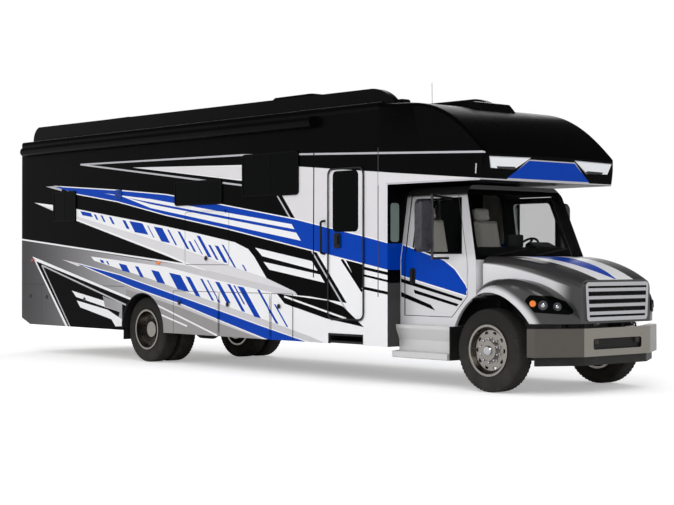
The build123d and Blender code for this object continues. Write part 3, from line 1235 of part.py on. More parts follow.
def build():
    right_cargo, left_cargo = cargo_doors(-1), cargo_doors(1)
    PARTS.update(
        chassis_frame=chassis_frame(), engine=engine(), fuel_tank=fuel_tank(),
        front_axle=front_axle(), knuckle_right=knuckle(), knuckle_left=mirrored(knuckle()),
        rear_axle=rear_axle() + driveshaft(), leaf_springs=leaf_springs(), hitch_receiver=hitch_receiver(),
        wheel_liners=wheel_liners(),
    )
    front, rear = front_wheel(), rear_wheels()
    front_tyre, pair = tyre(FRONT_AXLE_X, -FRONT_WHEEL_Y), rear_tyres()
    PARTS.update(
        front_right_rim=front, front_left_rim=mirrored(front),
        front_right_tyre=front_tyre, front_left_tyre=mirrored(front_tyre),
        rear_right_rims=rear, rear_left_rims=mirrored(rear),
        rear_right_tyres=pair, rear_left_tyres=mirrored(pair),
    )
    PARTS.update(
        bumper=bumper(), bumper_valance=bumper_valance(), hood=hood(), grille=grille(), headlamps=headlamps(),
        cab_body=cab_body(), windshield=windshield(), dashboard=dashboard() + steering_wheel(),
        cab_seats=cab_seats(), cab_steps=cab_steps(),
    )
    for name, side in (("right", -1), ("left", 1)):
        PARTS[f"cab_door_{name}"] = cab_door(side)
        PARTS[f"cab_door_{name}_glass"] = cab_door_glass(side)
    PARTS["mirror_right"] = door_mirror()
    PARTS["mirror_left"] = mirrored(door_mirror())
    PARTS.update(
        house_wall_right=house_wall_right(), house_wall_left=house_wall_left(), house_front=house_front(),
        house_rear=house_rear(), house_roof=house_roof(), house_floor=house_floor(), front_cap=front_cap(),
        cap_lamps=cap_lamps(), house_windows=house_windows(), entry_door=entry_door(),
        entry_door_glass=pane(ENTRY_PANE, -1, ENTRY_PANE["proud"]),
        entry_step=entry_step(), upper_cargo_door=upper_cargo_door(),
        slideout=slideout(), slideout_glass=slideout_glass(), storage_tubs=storage_tubs(),
        roof_equipment=Compound(children=roof_fairings() + roof_units() + [roof_dome()]),
        awning=awning(), tail_lamps=tail_lamps(),
    )
    for name, doors in (("right", right_cargo), ("left", left_cargo)):
        for place, door in zip(("rear", "middle", "front"), doors):
            PARTS[f"cargo_door_{name}_{place}"] = door


build()
os.makedirs("parts", exist_ok=True)
for name, shape in PARTS.items():
    export_step(shape, f"parts/{name}.step")
    print(name, len(shape.solids()), round(shape.volume / 1e6, 2), shape.is_valid)
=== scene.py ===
# %% [markdown]
# The motorhome's solids come in as a fixed frame, in metres: +X is forward, +Y is the driver's left and +Z
# is up. Everything below only dresses that frame: paint, glass, rubber, leather, trim and the studio.

import json
import math

import bmesh
import bpy
from mathutils import Matrix, Vector
from mathutils.bvhtree import BVHTree


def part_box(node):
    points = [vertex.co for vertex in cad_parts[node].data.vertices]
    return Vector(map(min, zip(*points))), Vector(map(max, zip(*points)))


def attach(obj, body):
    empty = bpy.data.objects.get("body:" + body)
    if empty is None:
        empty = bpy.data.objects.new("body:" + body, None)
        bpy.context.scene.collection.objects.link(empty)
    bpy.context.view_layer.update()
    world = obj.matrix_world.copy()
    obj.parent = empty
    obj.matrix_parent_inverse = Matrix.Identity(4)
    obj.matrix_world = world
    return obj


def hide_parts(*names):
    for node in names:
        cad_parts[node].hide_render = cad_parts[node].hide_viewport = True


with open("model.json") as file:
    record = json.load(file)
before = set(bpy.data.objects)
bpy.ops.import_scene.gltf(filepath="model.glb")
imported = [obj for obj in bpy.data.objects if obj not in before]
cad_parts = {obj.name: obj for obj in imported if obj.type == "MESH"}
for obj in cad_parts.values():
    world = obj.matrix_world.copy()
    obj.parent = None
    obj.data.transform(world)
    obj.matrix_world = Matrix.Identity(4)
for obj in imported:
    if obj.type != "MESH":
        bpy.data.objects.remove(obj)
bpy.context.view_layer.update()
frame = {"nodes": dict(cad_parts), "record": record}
nodes = frame["nodes"]
scene = bpy.context.scene
RIGHT, LEFT = -1, 1
SIDES = {"right": RIGHT, "left": LEFT}
FRONT_AXLE_X, REAR_AXLE_X, AXLE_Z = 4.975, -2.245, 0.506
WALL_Y = 1.27
bodies = frame["record"]["behaviour"]["bodies"]
body_of = {member: body for body, members in bodies.items() for member in members}

# %% [markdown]
# Real surfaces are never one flat colour. Small node groups give values that many finishes share: a cloudy
# variation, metallic flakes, brushed streaks, the road dust that gathers low down, and a mask of how far a
# face looks up. A group is written once, and every material that uses it follows when it changes.

# %% Shared shader groups
BRUSH_STRETCH = (3, 90, 90)
DUST_PATCHES = 7.0


def shader_group(name, inputs, result):
    """A node group with float inputs {label: default} and one float output."""
    group = bpy.data.node_groups.new(name, "ShaderNodeTree")
    for label, default in inputs.items():
        socket = group.interface.new_socket(label, in_out="INPUT", socket_type="NodeSocketFloat")
        socket.default_value = default
    group.interface.new_socket(result, in_out="OUTPUT", socket_type="NodeSocketFloat")
    given = group.nodes.new("NodeGroupInput").outputs
    return group, given, group.nodes.new("NodeGroupOutput").inputs[result]


def feed(tree, socket, value):
    """Sets a socket to a number or a colour, or links another node's output to it."""
    if isinstance(value, (int, float)):
        socket.default_value = value
    elif isinstance(value, tuple):
        socket.default_value = (*value, 1.0)
    else:
        tree.links.new(value, socket)


def math_node(tree, operation, first, second=0.0):
    node = tree.nodes.new("ShaderNodeMath")
    node.operation = operation
    feed(tree, node.inputs[0], first)
    feed(tree, node.inputs[1], second)
    return node.outputs[0]


def ramp_between(tree, value, low, high):
    """A smooth mask: 0 at low, 1 at high."""
    node = tree.nodes.new("ShaderNodeMapRange")
    node.interpolation_type = "SMOOTHSTEP"
    for label, amount in (("Value", value), ("From Min", low), ("From Max", high)):
        feed(tree, node.inputs[label], amount)
    return node.outputs["Result"]


def object_coordinates(tree, stretch=(1, 1, 1)):
    mapping = tree.nodes.new("ShaderNodeMapping")
    mapping.inputs["Scale"].default_value = stretch
    tree.links.new(tree.nodes.new("ShaderNodeTexCoord").outputs["Object"], mapping.inputs["Vector"])
    return mapping.outputs["Vector"]


def split_axes(tree, vector):
    node = tree.nodes.new("ShaderNodeSeparateXYZ")
    tree.links.new(vector, node.inputs[0])
    return node.outputs


def texture_group(name, kind, scale, output, detail, stretch=(1, 1, 1)):
    group, given, outlet = shader_group(name, {"Scale": scale}, "Value")
    texture = group.nodes.new(kind)
    texture.inputs["Detail"].default_value = detail
    group.links.new(object_coordinates(group, stretch), texture.inputs["Vector"])
    group.links.new(given["Scale"], texture.inputs["Scale"])
    group.links.new(texture.outputs[output], outlet)
    return group


def axis_mask(name, coordinate, axis, low, high):
    """A soft step along one axis of the piece's place or normal."""
    group, given, outlet = shader_group(name, {"From": low, "To": high}, "Mask")
    vector = group.nodes.new("ShaderNodeTexCoord").outputs[coordinate]
    mask = ramp_between(group, split_axes(group, vector)[axis], given["From"], given["To"])
    group.links.new(mask, outlet)
    return group


clouds = texture_group("clouds", "ShaderNodeTexNoise", 6.0, "Fac", detail=5.0)
flakes = texture_group("flakes", "ShaderNodeTexVoronoi", 900.0, "Color", detail=0.0)
streaks = texture_group("streaks", "ShaderNodeTexNoise", 4.0, "Fac", detail=3.0, stretch=BRUSH_STRETCH)
looks_up = axis_mask("looks_up", "Normal", "Z", 0.10, 0.40)
along = axis_mask("along", "Object", "X", -6.3, 0.0)

road_dust, given, outlet = shader_group("road_dust", {"Height": 0.9, "Amount": 0.3}, "Mask")
height = split_axes(road_dust, object_coordinates(road_dust))["Z"]
below = math_node(road_dust, "SUBTRACT", given["Height"], height)
share = math_node(road_dust, "MAXIMUM", math_node(road_dust, "DIVIDE", below, given["Height"]), 0.0)
patches = road_dust.nodes.new("ShaderNodeTexNoise")
patches.inputs["Scale"].default_value = DUST_PATCHES
road_dust.links.new(object_coordinates(road_dust), patches.inputs["Vector"])
share = math_node(road_dust, "MULTIPLY", share, patches.outputs["Fac"])
road_dust.links.new(math_node(road_dust, "MULTIPLY", share, given["Amount"]), outlet)
print("groups", [group.name for group in bpy.data.node_groups])

# %% [markdown]
# The truck's silver is painted charcoal over the hood and the fenders' crowns, as a painted reflection of a
# dark ceiling, but stays silver on the flank between them and round the wheel arch. The painted reflection
# follows the shape, so it is worked out from the place on the hood: the height over a bent shoulder line, the
# way out to the crown, and the distance to the axle.

# %% The hood's painted reflection
SHOULDER_X, SHOULDER_Z, SHOULDER_FALL, SHOULDER_BEND = 4.714, 1.551, 0.06, 0.16
SHOULDER_SOFT = (-0.012, 0.020)
CROWN_X, CROWN_TAPER, CROWN_SOFT = 5.10, 0.48, (1.045, 1.090)
ARCH_SOFT = (0.735, 0.820)
FLANK_END = (5.65, 5.90)


def use(tree, group, **values):
    node = tree.nodes.new("ShaderNodeGroup")
    node.node_tree = group
    for label, value in values.items():
        node.inputs[label].default_value = value
    return node.outputs[0]


def hood_painted_reflection(tree):
    """1 where the hood and the fenders take the painted charcoal reflection; 0 on the flank between them and
    near the arch.
    """

    def calc(operation, first, second=0.0):
        return math_node(tree, operation, first, second)

    x, y, z = split_axes(tree, object_coordinates(tree))
    run = calc("SUBTRACT", x, SHOULDER_X)
    slope = calc("ADD", calc("MULTIPLY", run, SHOULDER_BEND), SHOULDER_FALL)
    over = calc("SUBTRACT", calc("ADD", z, calc("MULTIPLY", run, slope)), SHOULDER_Z)
    outward = calc("MULTIPLY", calc("MAXIMUM", calc("SUBTRACT", x, CROWN_X), 0.0), CROWN_TAPER)
    top = ramp_between(tree, over, *SHOULDER_SOFT)
    crown = ramp_between(tree, calc("ADD", calc("ABSOLUTE", y), outward), *CROWN_SOFT)
    ahead = ramp_between(tree, x, *FLANK_END)
    off_flank = calc("MAXIMUM", calc("MAXIMUM", top, crown), ahead)
    run = calc("POWER", calc("SUBTRACT", x, FRONT_AXLE_X), 2.0)
    rise = calc("POWER", calc("SUBTRACT", z, AXLE_Z), 2.0)
    off_arch = ramp_between(tree, calc("SQRT", calc("ADD", run, rise)), *ARCH_SOFT)
    return calc("MULTIPLY", off_flank, calc("MAXIMUM", off_arch, use(tree, looks_up)))


print("hood fade from shoulder height", SHOULDER_Z)

# %% [markdown]
# One function makes every opaque finish. It starts from the colour as read on a screen, varies it with the
# clouds, moves the roughness with the same values, and adds flakes, streaks, grain or dust where the real
# material has them. Two fades are here too: charcoal painted on top as a painted reflection of a dark
# ceiling, and the lower grey lightening forward.

# %% How a finish is made
DUST_COLOUR = (0.30, 0.27, 0.23)
COAT_ROUGHNESS = 0.04
GRAIN_DEPTH = 0.002
GLASS_ROUGHNESS, GLASS_VARY, GLASS_SPECULAR = 0.03, 0.05, 0.12
FINISHES = {}


def linear(red, green, blue):
    """Screen values from 0 to 255 as the linear colour that shaders use."""
    shares = (red / 255, green / 255, blue / 255)
    return tuple(((c + 0.055) / 1.055) ** 2.4 if c > 0.04045 else c / 12.92 for c in shares)


def mix_colour(tree, factor, first, second):
    node = tree.nodes.new("ShaderNodeMix")
    node.data_type = "RGBA"
    for index, value in ((0, factor), (6, first), (7, second)):
        feed(tree, node.inputs[index], value)
    return node.outputs[2]


def finish(name, colour, roughness, metallic=0.0, coat=0.0, vary=0.08, scale=6.0, flake=0.0, brushed=0.0,
           dust=0.0, grain=0.0, grain_scale=300.0, specular=0.5, top=None, forward=None, flank=False):
    """A material of this name, kept in FINISHES; colours are screen values."""
    made = bpy.data.materials.new(name)
    made.use_nodes = True
    tree = made.node_tree
    shader = tree.nodes["Principled BSDF"]
    shader.inputs["Metallic"].default_value = metallic
    shader.inputs["Coat Weight"].default_value = coat
    shader.inputs["Coat Roughness"].default_value = COAT_ROUGHNESS
    shader.inputs["Specular IOR Level"].default_value = specular
    base = linear(*colour)
    dark = tuple(c * (1 - vary) for c in base)
    light = tuple(min(1.0, c * (1 + vary)) for c in base)
    value = use(tree, clouds, Scale=scale)
    shade = mix_colour(tree, value, dark, light)
    if forward:
        shade = mix_colour(tree, use(tree, along), shade, linear(*forward))
    # Painted reflection: charcoal laid on faces that look up, standing in for a dark ceiling mirrored in
    # them.
    if top:
        mask = hood_painted_reflection(tree) if flank else use(tree, looks_up)
        shade = mix_colour(tree, mask, shade, linear(*top))
    if flake:
        spark = math_node(tree, "MULTIPLY", use(tree, flakes), flake)
        shade = mix_colour(tree, spark, shade, (1.0, 1.0, 1.0))
    if dust:
        shade = mix_colour(tree, use(tree, road_dust, Amount=dust), shade, DUST_COLOUR)
    tree.links.new(shade, shader.inputs["Base Color"])
    swing = use(tree, streaks) if brushed else value
    rough = math_node(tree, "MULTIPLY", swing, brushed or vary)
    tree.links.new(math_node(tree, "ADD", rough, roughness), shader.inputs["Roughness"])
    if grain:
        bump = tree.nodes.new("ShaderNodeBump")
        bump.inputs["Strength"].default_value = grain
        bump.inputs["Distance"].default_value = GRAIN_DEPTH
        tree.links.new(use(tree, clouds, Scale=grain_scale), bump.inputs["Height"])
        tree.links.new(bump.outputs["Normal"], shader.inputs["Normal"])
    FINISHES[name] = made
    return made


def clear_glass(name, colour, alpha):
    made = finish(name, colour, GLASS_ROUGHNESS, vary=GLASS_VARY, specular=GLASS_SPECULAR)
    made.node_tree.nodes["Principled BSDF"].inputs["Alpha"].default_value = alpha


print("finish maker ready")

# %% [markdown]
# Paint on a large vehicle is quieter than paint on a toy: little shine of its own, a soft coat and a haze of
# dust low down. Metals, rubber, glass and leather follow. Every solid then takes the finish of its slot.

# %% Paints and finishes
TOP_REFLECTION_CHARCOAL, SILVER = (52, 50, 50), (214, 213, 216)
# The truck paint is painted charcoal where it looks up: a painted reflection of a dark ceiling.
TRUCK_PAINT = dict(metallic=0.2, coat=0.25, vary=0.02, flake=0.012, top=TOP_REFLECTION_CHARCOAL)
HOUSE_PAINT = dict(coat=0.1, dust=0.08, specular=0.3)
LOOKS_STRAIGHT_UP = 0.95
finish("lamp_red", (150, 12, 16), 0.12, coat=0.6, vary=0.15, scale=40.0)
finish("lamp_amber", (236, 122, 18), 0.15, coat=0.6, vary=0.15, scale=60.0)
PAINTS = {
    "black": finish("paint_black", (5, 5, 6), 0.24, vary=0.1, dust=0.006, specular=0.025),
    "blue": finish("paint_blue", (0, 62, 172), 0.28, coat=0.02, vary=0.05, dust=0.02, specular=0.05),
    "white": finish("paint_white", (240, 240, 242), 0.3, vary=0.02, **HOUSE_PAINT),
    "pale": finish("paint_pale", (218, 216, 219), 0.3, vary=0.03, **HOUSE_PAINT),
    "grey": finish("paint_grey", (52, 50, 53), 0.3, coat=0.05, vary=0.05, dust=0.1, specular=0.2,
                   forward=(204, 202, 205)),
    "silver": finish("paint_silver", (186, 186, 191), 0.3, metallic=0.2, coat=0.1, vary=0.03, dust=0.1),
    # The cab and hood paints carry the painted charcoal reflection on top.
    "cab": finish("paint_cab", SILVER, 0.28, dust=0.06, **TRUCK_PAINT),
    "hood": finish("paint_hood", SILVER, 0.28, flank=True, **TRUCK_PAINT),
    "steel": finish("paint_steel", (150, 147, 147), 0.3, coat=0.05, scale=2.0, dust=0.1, specular=0.2),
    # Painted shade: the dark grey band low on the bulkhead beside the cab.
    "charcoal": finish("bulkhead_painted_shade", (60, 58, 58), 0.35, vary=0.15, scale=3.0, specular=0.2),
    "seam": finish("panel_seam", (44, 43, 45), 0.6, vary=0.2),
    "inside": finish("house_lining", (214, 209, 198), 0.6, vary=0.04, grain=0.3, grain_scale=120.0),
    "cabin": finish("cab_lining", (34, 33, 33), 0.8, vary=0.15, grain=0.4, grain_scale=180.0, specular=0.15),
    "lens": finish("lamp_lens", (240, 242, 245), 0.12, coat=0.6, vary=0.04, scale=50.0),
    "red": FINISHES["lamp_red"],
    "amber": FINISHES["lamp_amber"],
}
FINISHES["cab_paint"] = PAINTS["cab"]
FINISHES["house_paint"] = PAINTS["black"]
finish("frame_black", (22, 22, 23), 0.5, dust=0.4, grain=0.2, specular=0.3)
finish("engine_grey", (88, 90, 92), 0.6, metallic=0.4, dust=0.4, grain=0.5, grain_scale=140.0)
finish("tank_alloy", (190, 190, 192), 0.22, metallic=0.9, brushed=0.2, dust=0.25)
finish("trim_black", (19, 19, 20), 0.45, grain=0.3, dust=0.10, specular=0.25)
finish("wheel_alloy", (158, 154, 149), 0.16, metallic=1.0, brushed=0.12)
finish("tyre_rubber", (38, 37, 36), 0.75, vary=0.2, dust=0.15, grain=0.35, specular=0.15)
finish("bumper_silver", (136, 131, 123), 0.26, metallic=0.55, coat=0.3, vary=0.04, flake=0.012)
finish("bright_chrome", (200, 200, 204), 0.09, metallic=1.0, vary=0.03)
# Chrome with a painted dark reflection: a dark base with strong cloudy variation stands in for mirrored
# surroundings.
finish("dark_chrome", (84, 83, 88), 0.07, metallic=1.0, vary=0.9, scale=14.0)
# Painted shade for the bumper ends that turn away.
finish("bumper_painted_shade", (84, 80, 75), 0.28, metallic=0.5, coat=0.2, vary=0.06)
# A pane with a painted grey-green reflection in its colour.
finish("pane_painted_reflection", (122, 136, 130), 0.1, vary=0.12, scale=3.0, specular=0.1)
finish("blue_fitting", (6, 56, 140), 0.35, vary=0.1, specular=0.2)
finish("roof_membrane", (172, 170, 165), 0.75, scale=3.0, grain=0.3)
finish("step_alloy", (214, 213, 213), 0.34, metallic=0.3, brushed=0.15, vary=0.04)
finish("seat_leather", (250, 246, 236), 0.5, vary=0.06, grain=0.4, grain_scale=260.0, specular=0.3)
finish("gloss_black", (7, 7, 8), 0.2, vary=0.1, specular=0.04)
finish("floor_board", (120, 104, 84), 0.6, vary=0.15, brushed=0.2)
finish("dark_glass", (4, 5, 5), 0.06, vary=0.1, specular=0.03)
clear_glass("cab_glass", (14, 17, 17), 0.17)
clear_glass("lamp_clear", (200, 204, 208), 0.16)


def refinish(name, material, wanted):
    """Gives those faces of a node that pass a test another finish."""
    data = nodes[name].data
    data.materials.append(FINISHES[material])
    for polygon in data.polygons:
        if wanted(polygon):
            polygon.material_index = len(data.materials) - 1


for entry in frame["record"]["subparts"]:
    materials = nodes[entry["node"]].data.materials
    materials.clear()
    materials.append(FINISHES[entry["material_slot"]])
nodes["cab_steps"].data.materials[0] = FINISHES["step_alloy"]
refinish("house_roof", "roof_membrane", lambda face: face.normal.z > LOOKS_STRAIGHT_UP)
print("finishes", len(bpy.data.materials))

# %% [markdown]
# The livery is paint on flat panels, so it is drawn as polygons in metres along X and up Z, the later ones
# over the earlier. A texture image is not wanted here, and a decal would hang over the door gaps. Instead
# each painted panel is a copy of its solid's mesh, cut along the polygons' edges, so that stripes run across
# gaps as real paint does.

# %% Livery: fields and swooshes
LIVERY_ORIGIN_X = 0.045
SKIRT = 0.40
HOUSE_END, REAR_END = 3.30, -6.10
LINE, BOLD_LINE, CAP_LINE = 0.026, 0.045, 0.020
DOOR_JOINT, WALL_JOINT = 0.022, 0.016
EDGE = 0.016


def line(start, end, thick=LINE):
    """A thin stripe between two points, as a polygon."""
    (x0, z0), (x1, z1) = start, end
    run = Vector((x1 - x0, z1 - z0)).normalized() * thick / 2
    across = Vector((-run.y, run.x))
    return [(x0 + across.x, z0 + across.y), (x1 + across.x, z1 + across.y),
            (x1 - across.x, z1 - across.y), (x0 - across.x, z0 - across.y)]


def outlined(points, grow=EDGE):
    """The same polygon grown a little all round, for the thin edge that shows behind it."""
    ahead, behind = points[1:] + points[:1], points[-1:] + points[:-1]
    area = sum(a[0] * b[1] - b[0] * a[1] for a, b in zip(points, ahead))
    shift = math.copysign(grow, area)
    grown = []
    for before, (x, z), after in zip(behind, points, ahead):
        run = (Vector(after) - Vector(before)).normalized()
        grown.append((x + shift * run.y, z - shift * run.x))
    return grown


UPPER_TOP = [(-5.60, 2.58), (-5.04, 2.53), (-4.24, 2.44), (-1.67, 2.11), (-0.76, 1.98), (0.08, 1.85),
             (0.39, 1.75), (0.52, 1.65), (0.81, 1.34)]
UPPER_SPLIT = [(-0.08, 1.52), (-1.16, 1.75), (-1.67, 1.85), (-4.24, 2.32), (-5.04, 2.47)]
UPPER_LOW = [(1.43, 1.16), (-1.00, 1.50), (-1.67, 1.67), (-4.24, 2.25), (-5.04, 2.44)]
UPPER_EDGE = [(-5.04, 2.46), (-4.24, 2.275), (-1.67, 1.70), (-0.55, 1.42), (-1.00, 1.50), (-1.67, 1.665),
              (-4.24, 2.245)]
BLUE_TOP = [(-4.95, 2.835), (-2.99, 2.70), (-1.67, 2.59), (-0.35, 2.41), (1.45, 2.15), (2.10, 2.03),
            (2.84, 1.90), (HOUSE_END, 1.81)]
BLUE_LOW = [(HOUSE_END, 1.47), (2.84, 1.55), (1.74, 1.74), (-0.08, 2.05), (-1.67, 2.29), (-2.99, 2.53),
            (-4.21, 2.69)]
LOWER_TOP = [(-3.79, 1.65), (-1.66, 1.49), (-0.35, 1.30), (1.02, 1.13), (1.74, 1.10), (HOUSE_END, 0.95)]
LOWER_LOW = [(HOUSE_END, SKIRT), (2.40, SKIRT), (1.74, 0.56), (0.69, 0.77), (-0.79, 1.05), (-2.07, 1.30),
             (-3.68, 1.58)]
STRIPE_TOP = [(-4.21, 1.53), (-2.93, 1.35), (-1.66, 1.11), (-0.29, 0.85), (0.69, 0.66), (2.10, SKIRT)]
STRIPE_LOW = [(1.20, SKIRT), (-0.29, 0.72), (-1.18, 0.92), (-2.50, 1.16), (-3.89, 1.47)]
STRIPE_TIP = [(-4.68, 1.60), (-4.19, 1.54), (-4.10, 1.50), (-4.19, 1.49)]
GREY_FIELD = [(REAR_END, 1.95), (-2.07, 1.58), (-1.00, 1.51), (1.43, 1.16), (2.40, SKIRT),
              (REAR_END, SKIRT)]
FRONT_FIELD = [(1.04, 2.91), (1.49, 2.88), (HOUSE_END, 2.72), (HOUSE_END, 1.81), (2.84, 1.90), (2.10, 2.03),
               (1.45, 2.15), (1.14, 2.51), (1.04, 2.60)]
DOOR_FIELD = [(1.88, 1.71), (HOUSE_END, 1.47), (HOUSE_END, SKIRT), (2.95, SKIRT), (2.84, 0.72), (2.70, 0.81)]
ROOF_WEDGE = [(-2.55, 3.05), (0.31, 2.94), (0.31, 2.74)]
print("upper swoosh", UPPER_TOP[0], "to", UPPER_LOW[0])

# %% [markdown]
# The two white swooshes carry slanted blue bars. They all lean alike and follow the swoosh's fall, so each
# bar needs only where it starts, how wide it is, and how high its ends are. The door's pin stripes start and
# end at the same places along the wall, so each of those needs only its heights.

# %% Livery: bars, wedges and pin lines
BAR_LEAN, BAR_FALL = 0.91, -0.12
SEAM, SEAM_Z, SEAM_X = 0.008, 1.174, -5.353
STRIPE_START = 2.84
UPPER_BARS = [
    (-4.11, 0.32, 2.40, 2.33), (-3.70, 0.06, 2.34, 2.25), (-3.50, 0.06, 2.32, 2.21),
    (-3.25, 0.07, 2.29, 2.17), (-2.86, 0.09, 2.23, 2.09), (-2.66, 0.37, 2.21, 2.03),
    (-2.16, 0.03, 2.13, 1.94), (-1.98, 0.23, 2.11, 1.88), (-1.62, 0.05, 2.06, 1.82),
    (-1.35, 0.07, 2.03, 1.76), (-1.07, 0.06, 1.88, 1.72), (-0.93, 0.03, 1.90, 1.68),
    (-0.86, 0.09, 1.96, 1.64), (-0.57, 0.06, 1.82, 1.60), (-0.41, 0.09, 1.81, 1.56),
    (-0.24, 0.05, 1.82, 1.49), (0.24, 0.04, 1.53, 1.44),
]
LOWER_BARS = [
    (-3.52, 0.10, 1.60, 1.55), (-3.33, 0.05, 1.58, 1.52), (-2.96, 0.22, 1.54, 1.42),
    (-2.50, 0.10, 1.50, 1.33), (-2.05, 0.21, 1.44, 1.25), (-1.57, 0.30, 1.40, 1.15),
    (-1.14, 0.12, 1.35, 1.06), (-0.77, 0.06, 1.32, 1.00), (-0.60, 0.035, 1.30, 0.97),
    (-0.40, 0.11, 1.28, 0.98), (-0.11, 0.08, 1.25, 0.86), (0.04, 0.04, 1.23, 0.96),
    (0.14, 0.15, 1.22, 0.79), (0.59, 0.06, 1.18, 0.71), (0.97, 0.04, 0.98, 0.67),
]


def bar(start, width, high, low):
    shift = BAR_LEAN * (high - low)
    return [(start, high), (start + width, high + BAR_FALL * width),
            (start + width + shift, low + BAR_FALL * width), (start + shift, low)]


def pin_stripe(high, end_high, end_low, low):
    return [(STRIPE_START, high), (HOUSE_END, end_high), (HOUSE_END, end_low), (STRIPE_START, low)]


wall_drawing = [
    ("grey", GREY_FIELD),
    ("white", line((REAR_END, 1.955), (-1.00, 1.515))),
    ("seam", line((REAR_END, SEAM_Z), (-2.80, SEAM_Z), SEAM)),
    ("seam", line((SEAM_X, SEAM_Z), (SEAM_X, SKIRT), SEAM)),
    # The two swooshes with their bars
    ("pale", UPPER_TOP + UPPER_LOW),
    ("white", UPPER_EDGE),
    ("white", UPPER_TOP + UPPER_SPLIT),
    *[("blue", bar(*row)) for row in UPPER_BARS],
    ("white", LOWER_TOP + LOWER_LOW),
    *[("blue", bar(*row)) for row in LOWER_BARS],
    # The blue stripe below them, and the panel under it
    ("white", outlined(STRIPE_TOP + STRIPE_LOW)),
    ("pale", STRIPE_TIP),
    ("blue", STRIPE_TOP + STRIPE_LOW),
    ("steel", [(-2.75, 1.13), (-1.18, 0.86), (-0.29, 0.67), (1.12, SKIRT), (-2.75, SKIRT)]),
    ("white", line((-1.94, 0.91), (-0.35, 0.49))),
    ("white", line((-1.82, 0.76), (-1.10, 0.60))),
    # The black wedge behind the rear wheel, with its flashes
    ("white", [(-5.66, 1.65), (-2.58, 0.99), (-2.58, SKIRT), (-4.50, SKIRT)]),
    ("black", [(-5.54, 1.57), (-2.60, 0.955), (-2.60, SKIRT), (-4.42, SKIRT)]),
    ("silver", line((-5.35, 1.50), (-2.75, 0.88))),
    ("silver", line((-5.35, 1.50), (-4.36, SKIRT))),
    ("white", [(-4.37, 1.08), (-2.97, 0.87), (-2.92, 0.76), (-4.24, 0.98)]),
    ("grey", [(-3.43, 1.01), (-2.86, 0.90), (-2.86, 0.62), (-3.00, 0.60), (-2.93, 0.76), (-3.36, 0.84)]),
    ("white", [(-4.22, 0.92), (-3.28, 0.79), (-2.87, 0.65), (-2.87, 0.54), (-3.05, 0.53), (-3.17, 0.64),
               (-4.11, 0.81)]),
    # The front end of the wall round the entry door
    ("pale", FRONT_FIELD),
    ("silver", line((1.04, 2.50), (1.33, 2.175))),
    ("white", DOOR_FIELD),
    ("white", [(0.55, 1.77), (1.79, 1.58), (1.91, 1.45), (0.71, 1.65)]),
    ("white", [(0.74, 1.57), (1.96, 1.40), (2.06, 1.29), (0.87, 1.46)]),
    ("silver", line((1.79, 1.715), (2.595, 0.82))),
    ("black", [(1.03, 1.13), (2.13, 1.05), (2.43, 0.98), (2.84, 0.72), (2.09, 0.81), (1.21, 0.99)]),
    ("white", line((1.20, 1.09), (2.49, 0.82))),
    ("black", [(2.48, 1.60), (2.84, 1.54), (2.84, 1.22), (2.74, 1.25)]),
    ("black", line((2.40, 1.61), (2.81, 1.185), BOLD_LINE)),
    ("black", pin_stripe(1.51, 1.44, 1.40, 1.47)),
    ("black", pin_stripe(1.41, 1.34, 1.31, 1.38)),
    ("black", pin_stripe(1.25, 1.19, 1.15, 1.21)),
    # The blue band with its two white darts
    ("white", outlined(BLUE_TOP + BLUE_LOW)),
    ("silver", [(-5.22, 2.845), (-4.70, 2.84), (-4.70, 2.75)]),
    ("blue", BLUE_TOP + BLUE_LOW),
    ("white", [(-3.38, 2.67), (-2.07, 2.54), (1.36, 2.09), (1.42, 2.02), (-2.07, 2.49)]),
    ("white", [(-2.84, 2.60), (-2.07, 2.46), (1.46, 1.97), (1.56, 1.86), (-2.07, 2.40)]),
    # Trim lines and the wedge under the roof, then the panel joints
    ("silver", line((-4.11, 3.17), (0.31, 3.10))),
    ("silver", line((-4.11, 3.17), (0.31, 2.66))),
    ("white", outlined(ROOF_WEDGE)),
    ("pale", ROOF_WEDGE),
    ("silver", line((0.26, 3.10), (4.95, 2.90))),
    ("black", line((1.835, 3.39), (1.825, 1.36), DOOR_JOINT)),
    ("seam", line((3.11, 3.05), (3.11, 1.12), WALL_JOINT)),
]
WALL_LAYERS = [(paint, [(x + LIVERY_ORIGIN_X, z) for x, z in points]) for paint, points in wall_drawing]
print("livery polygons", len(WALL_LAYERS))

# %% [markdown]
# Each polygon edge becomes a cutting plane. Only the faces that the edge reaches are cut, which keeps the
# mesh light. Long flat panels are shaded flat, because smooth shading draws streaks across their thin faces.

# %% Cutting along a polygon
WELD = 1e-5
FLAT_FACE = 0.9995
SHARP = 28


def node_mesh(name):
    mesh = bmesh.new()
    mesh.from_mesh(nodes[name].data)
    return mesh


def inside_polygon(point, polygon):
    x, y = point
    hit = False
    for (x0, y0), (x1, y1) in zip(polygon, polygon[1:] + polygon[:1]):
        if (y0 > y) != (y1 > y) and x < (x1 - x0) * (y - y0) / (y1 - y0) + x0:
            hit = not hit
    return hit


def meets(points, low, high):
    """Whether the flat box round some points overlaps the box from low to high."""
    us, vs = zip(*points)
    return min(us) < high[0] and max(us) > low[0] and min(vs) < high[1] and max(vs) > low[1]


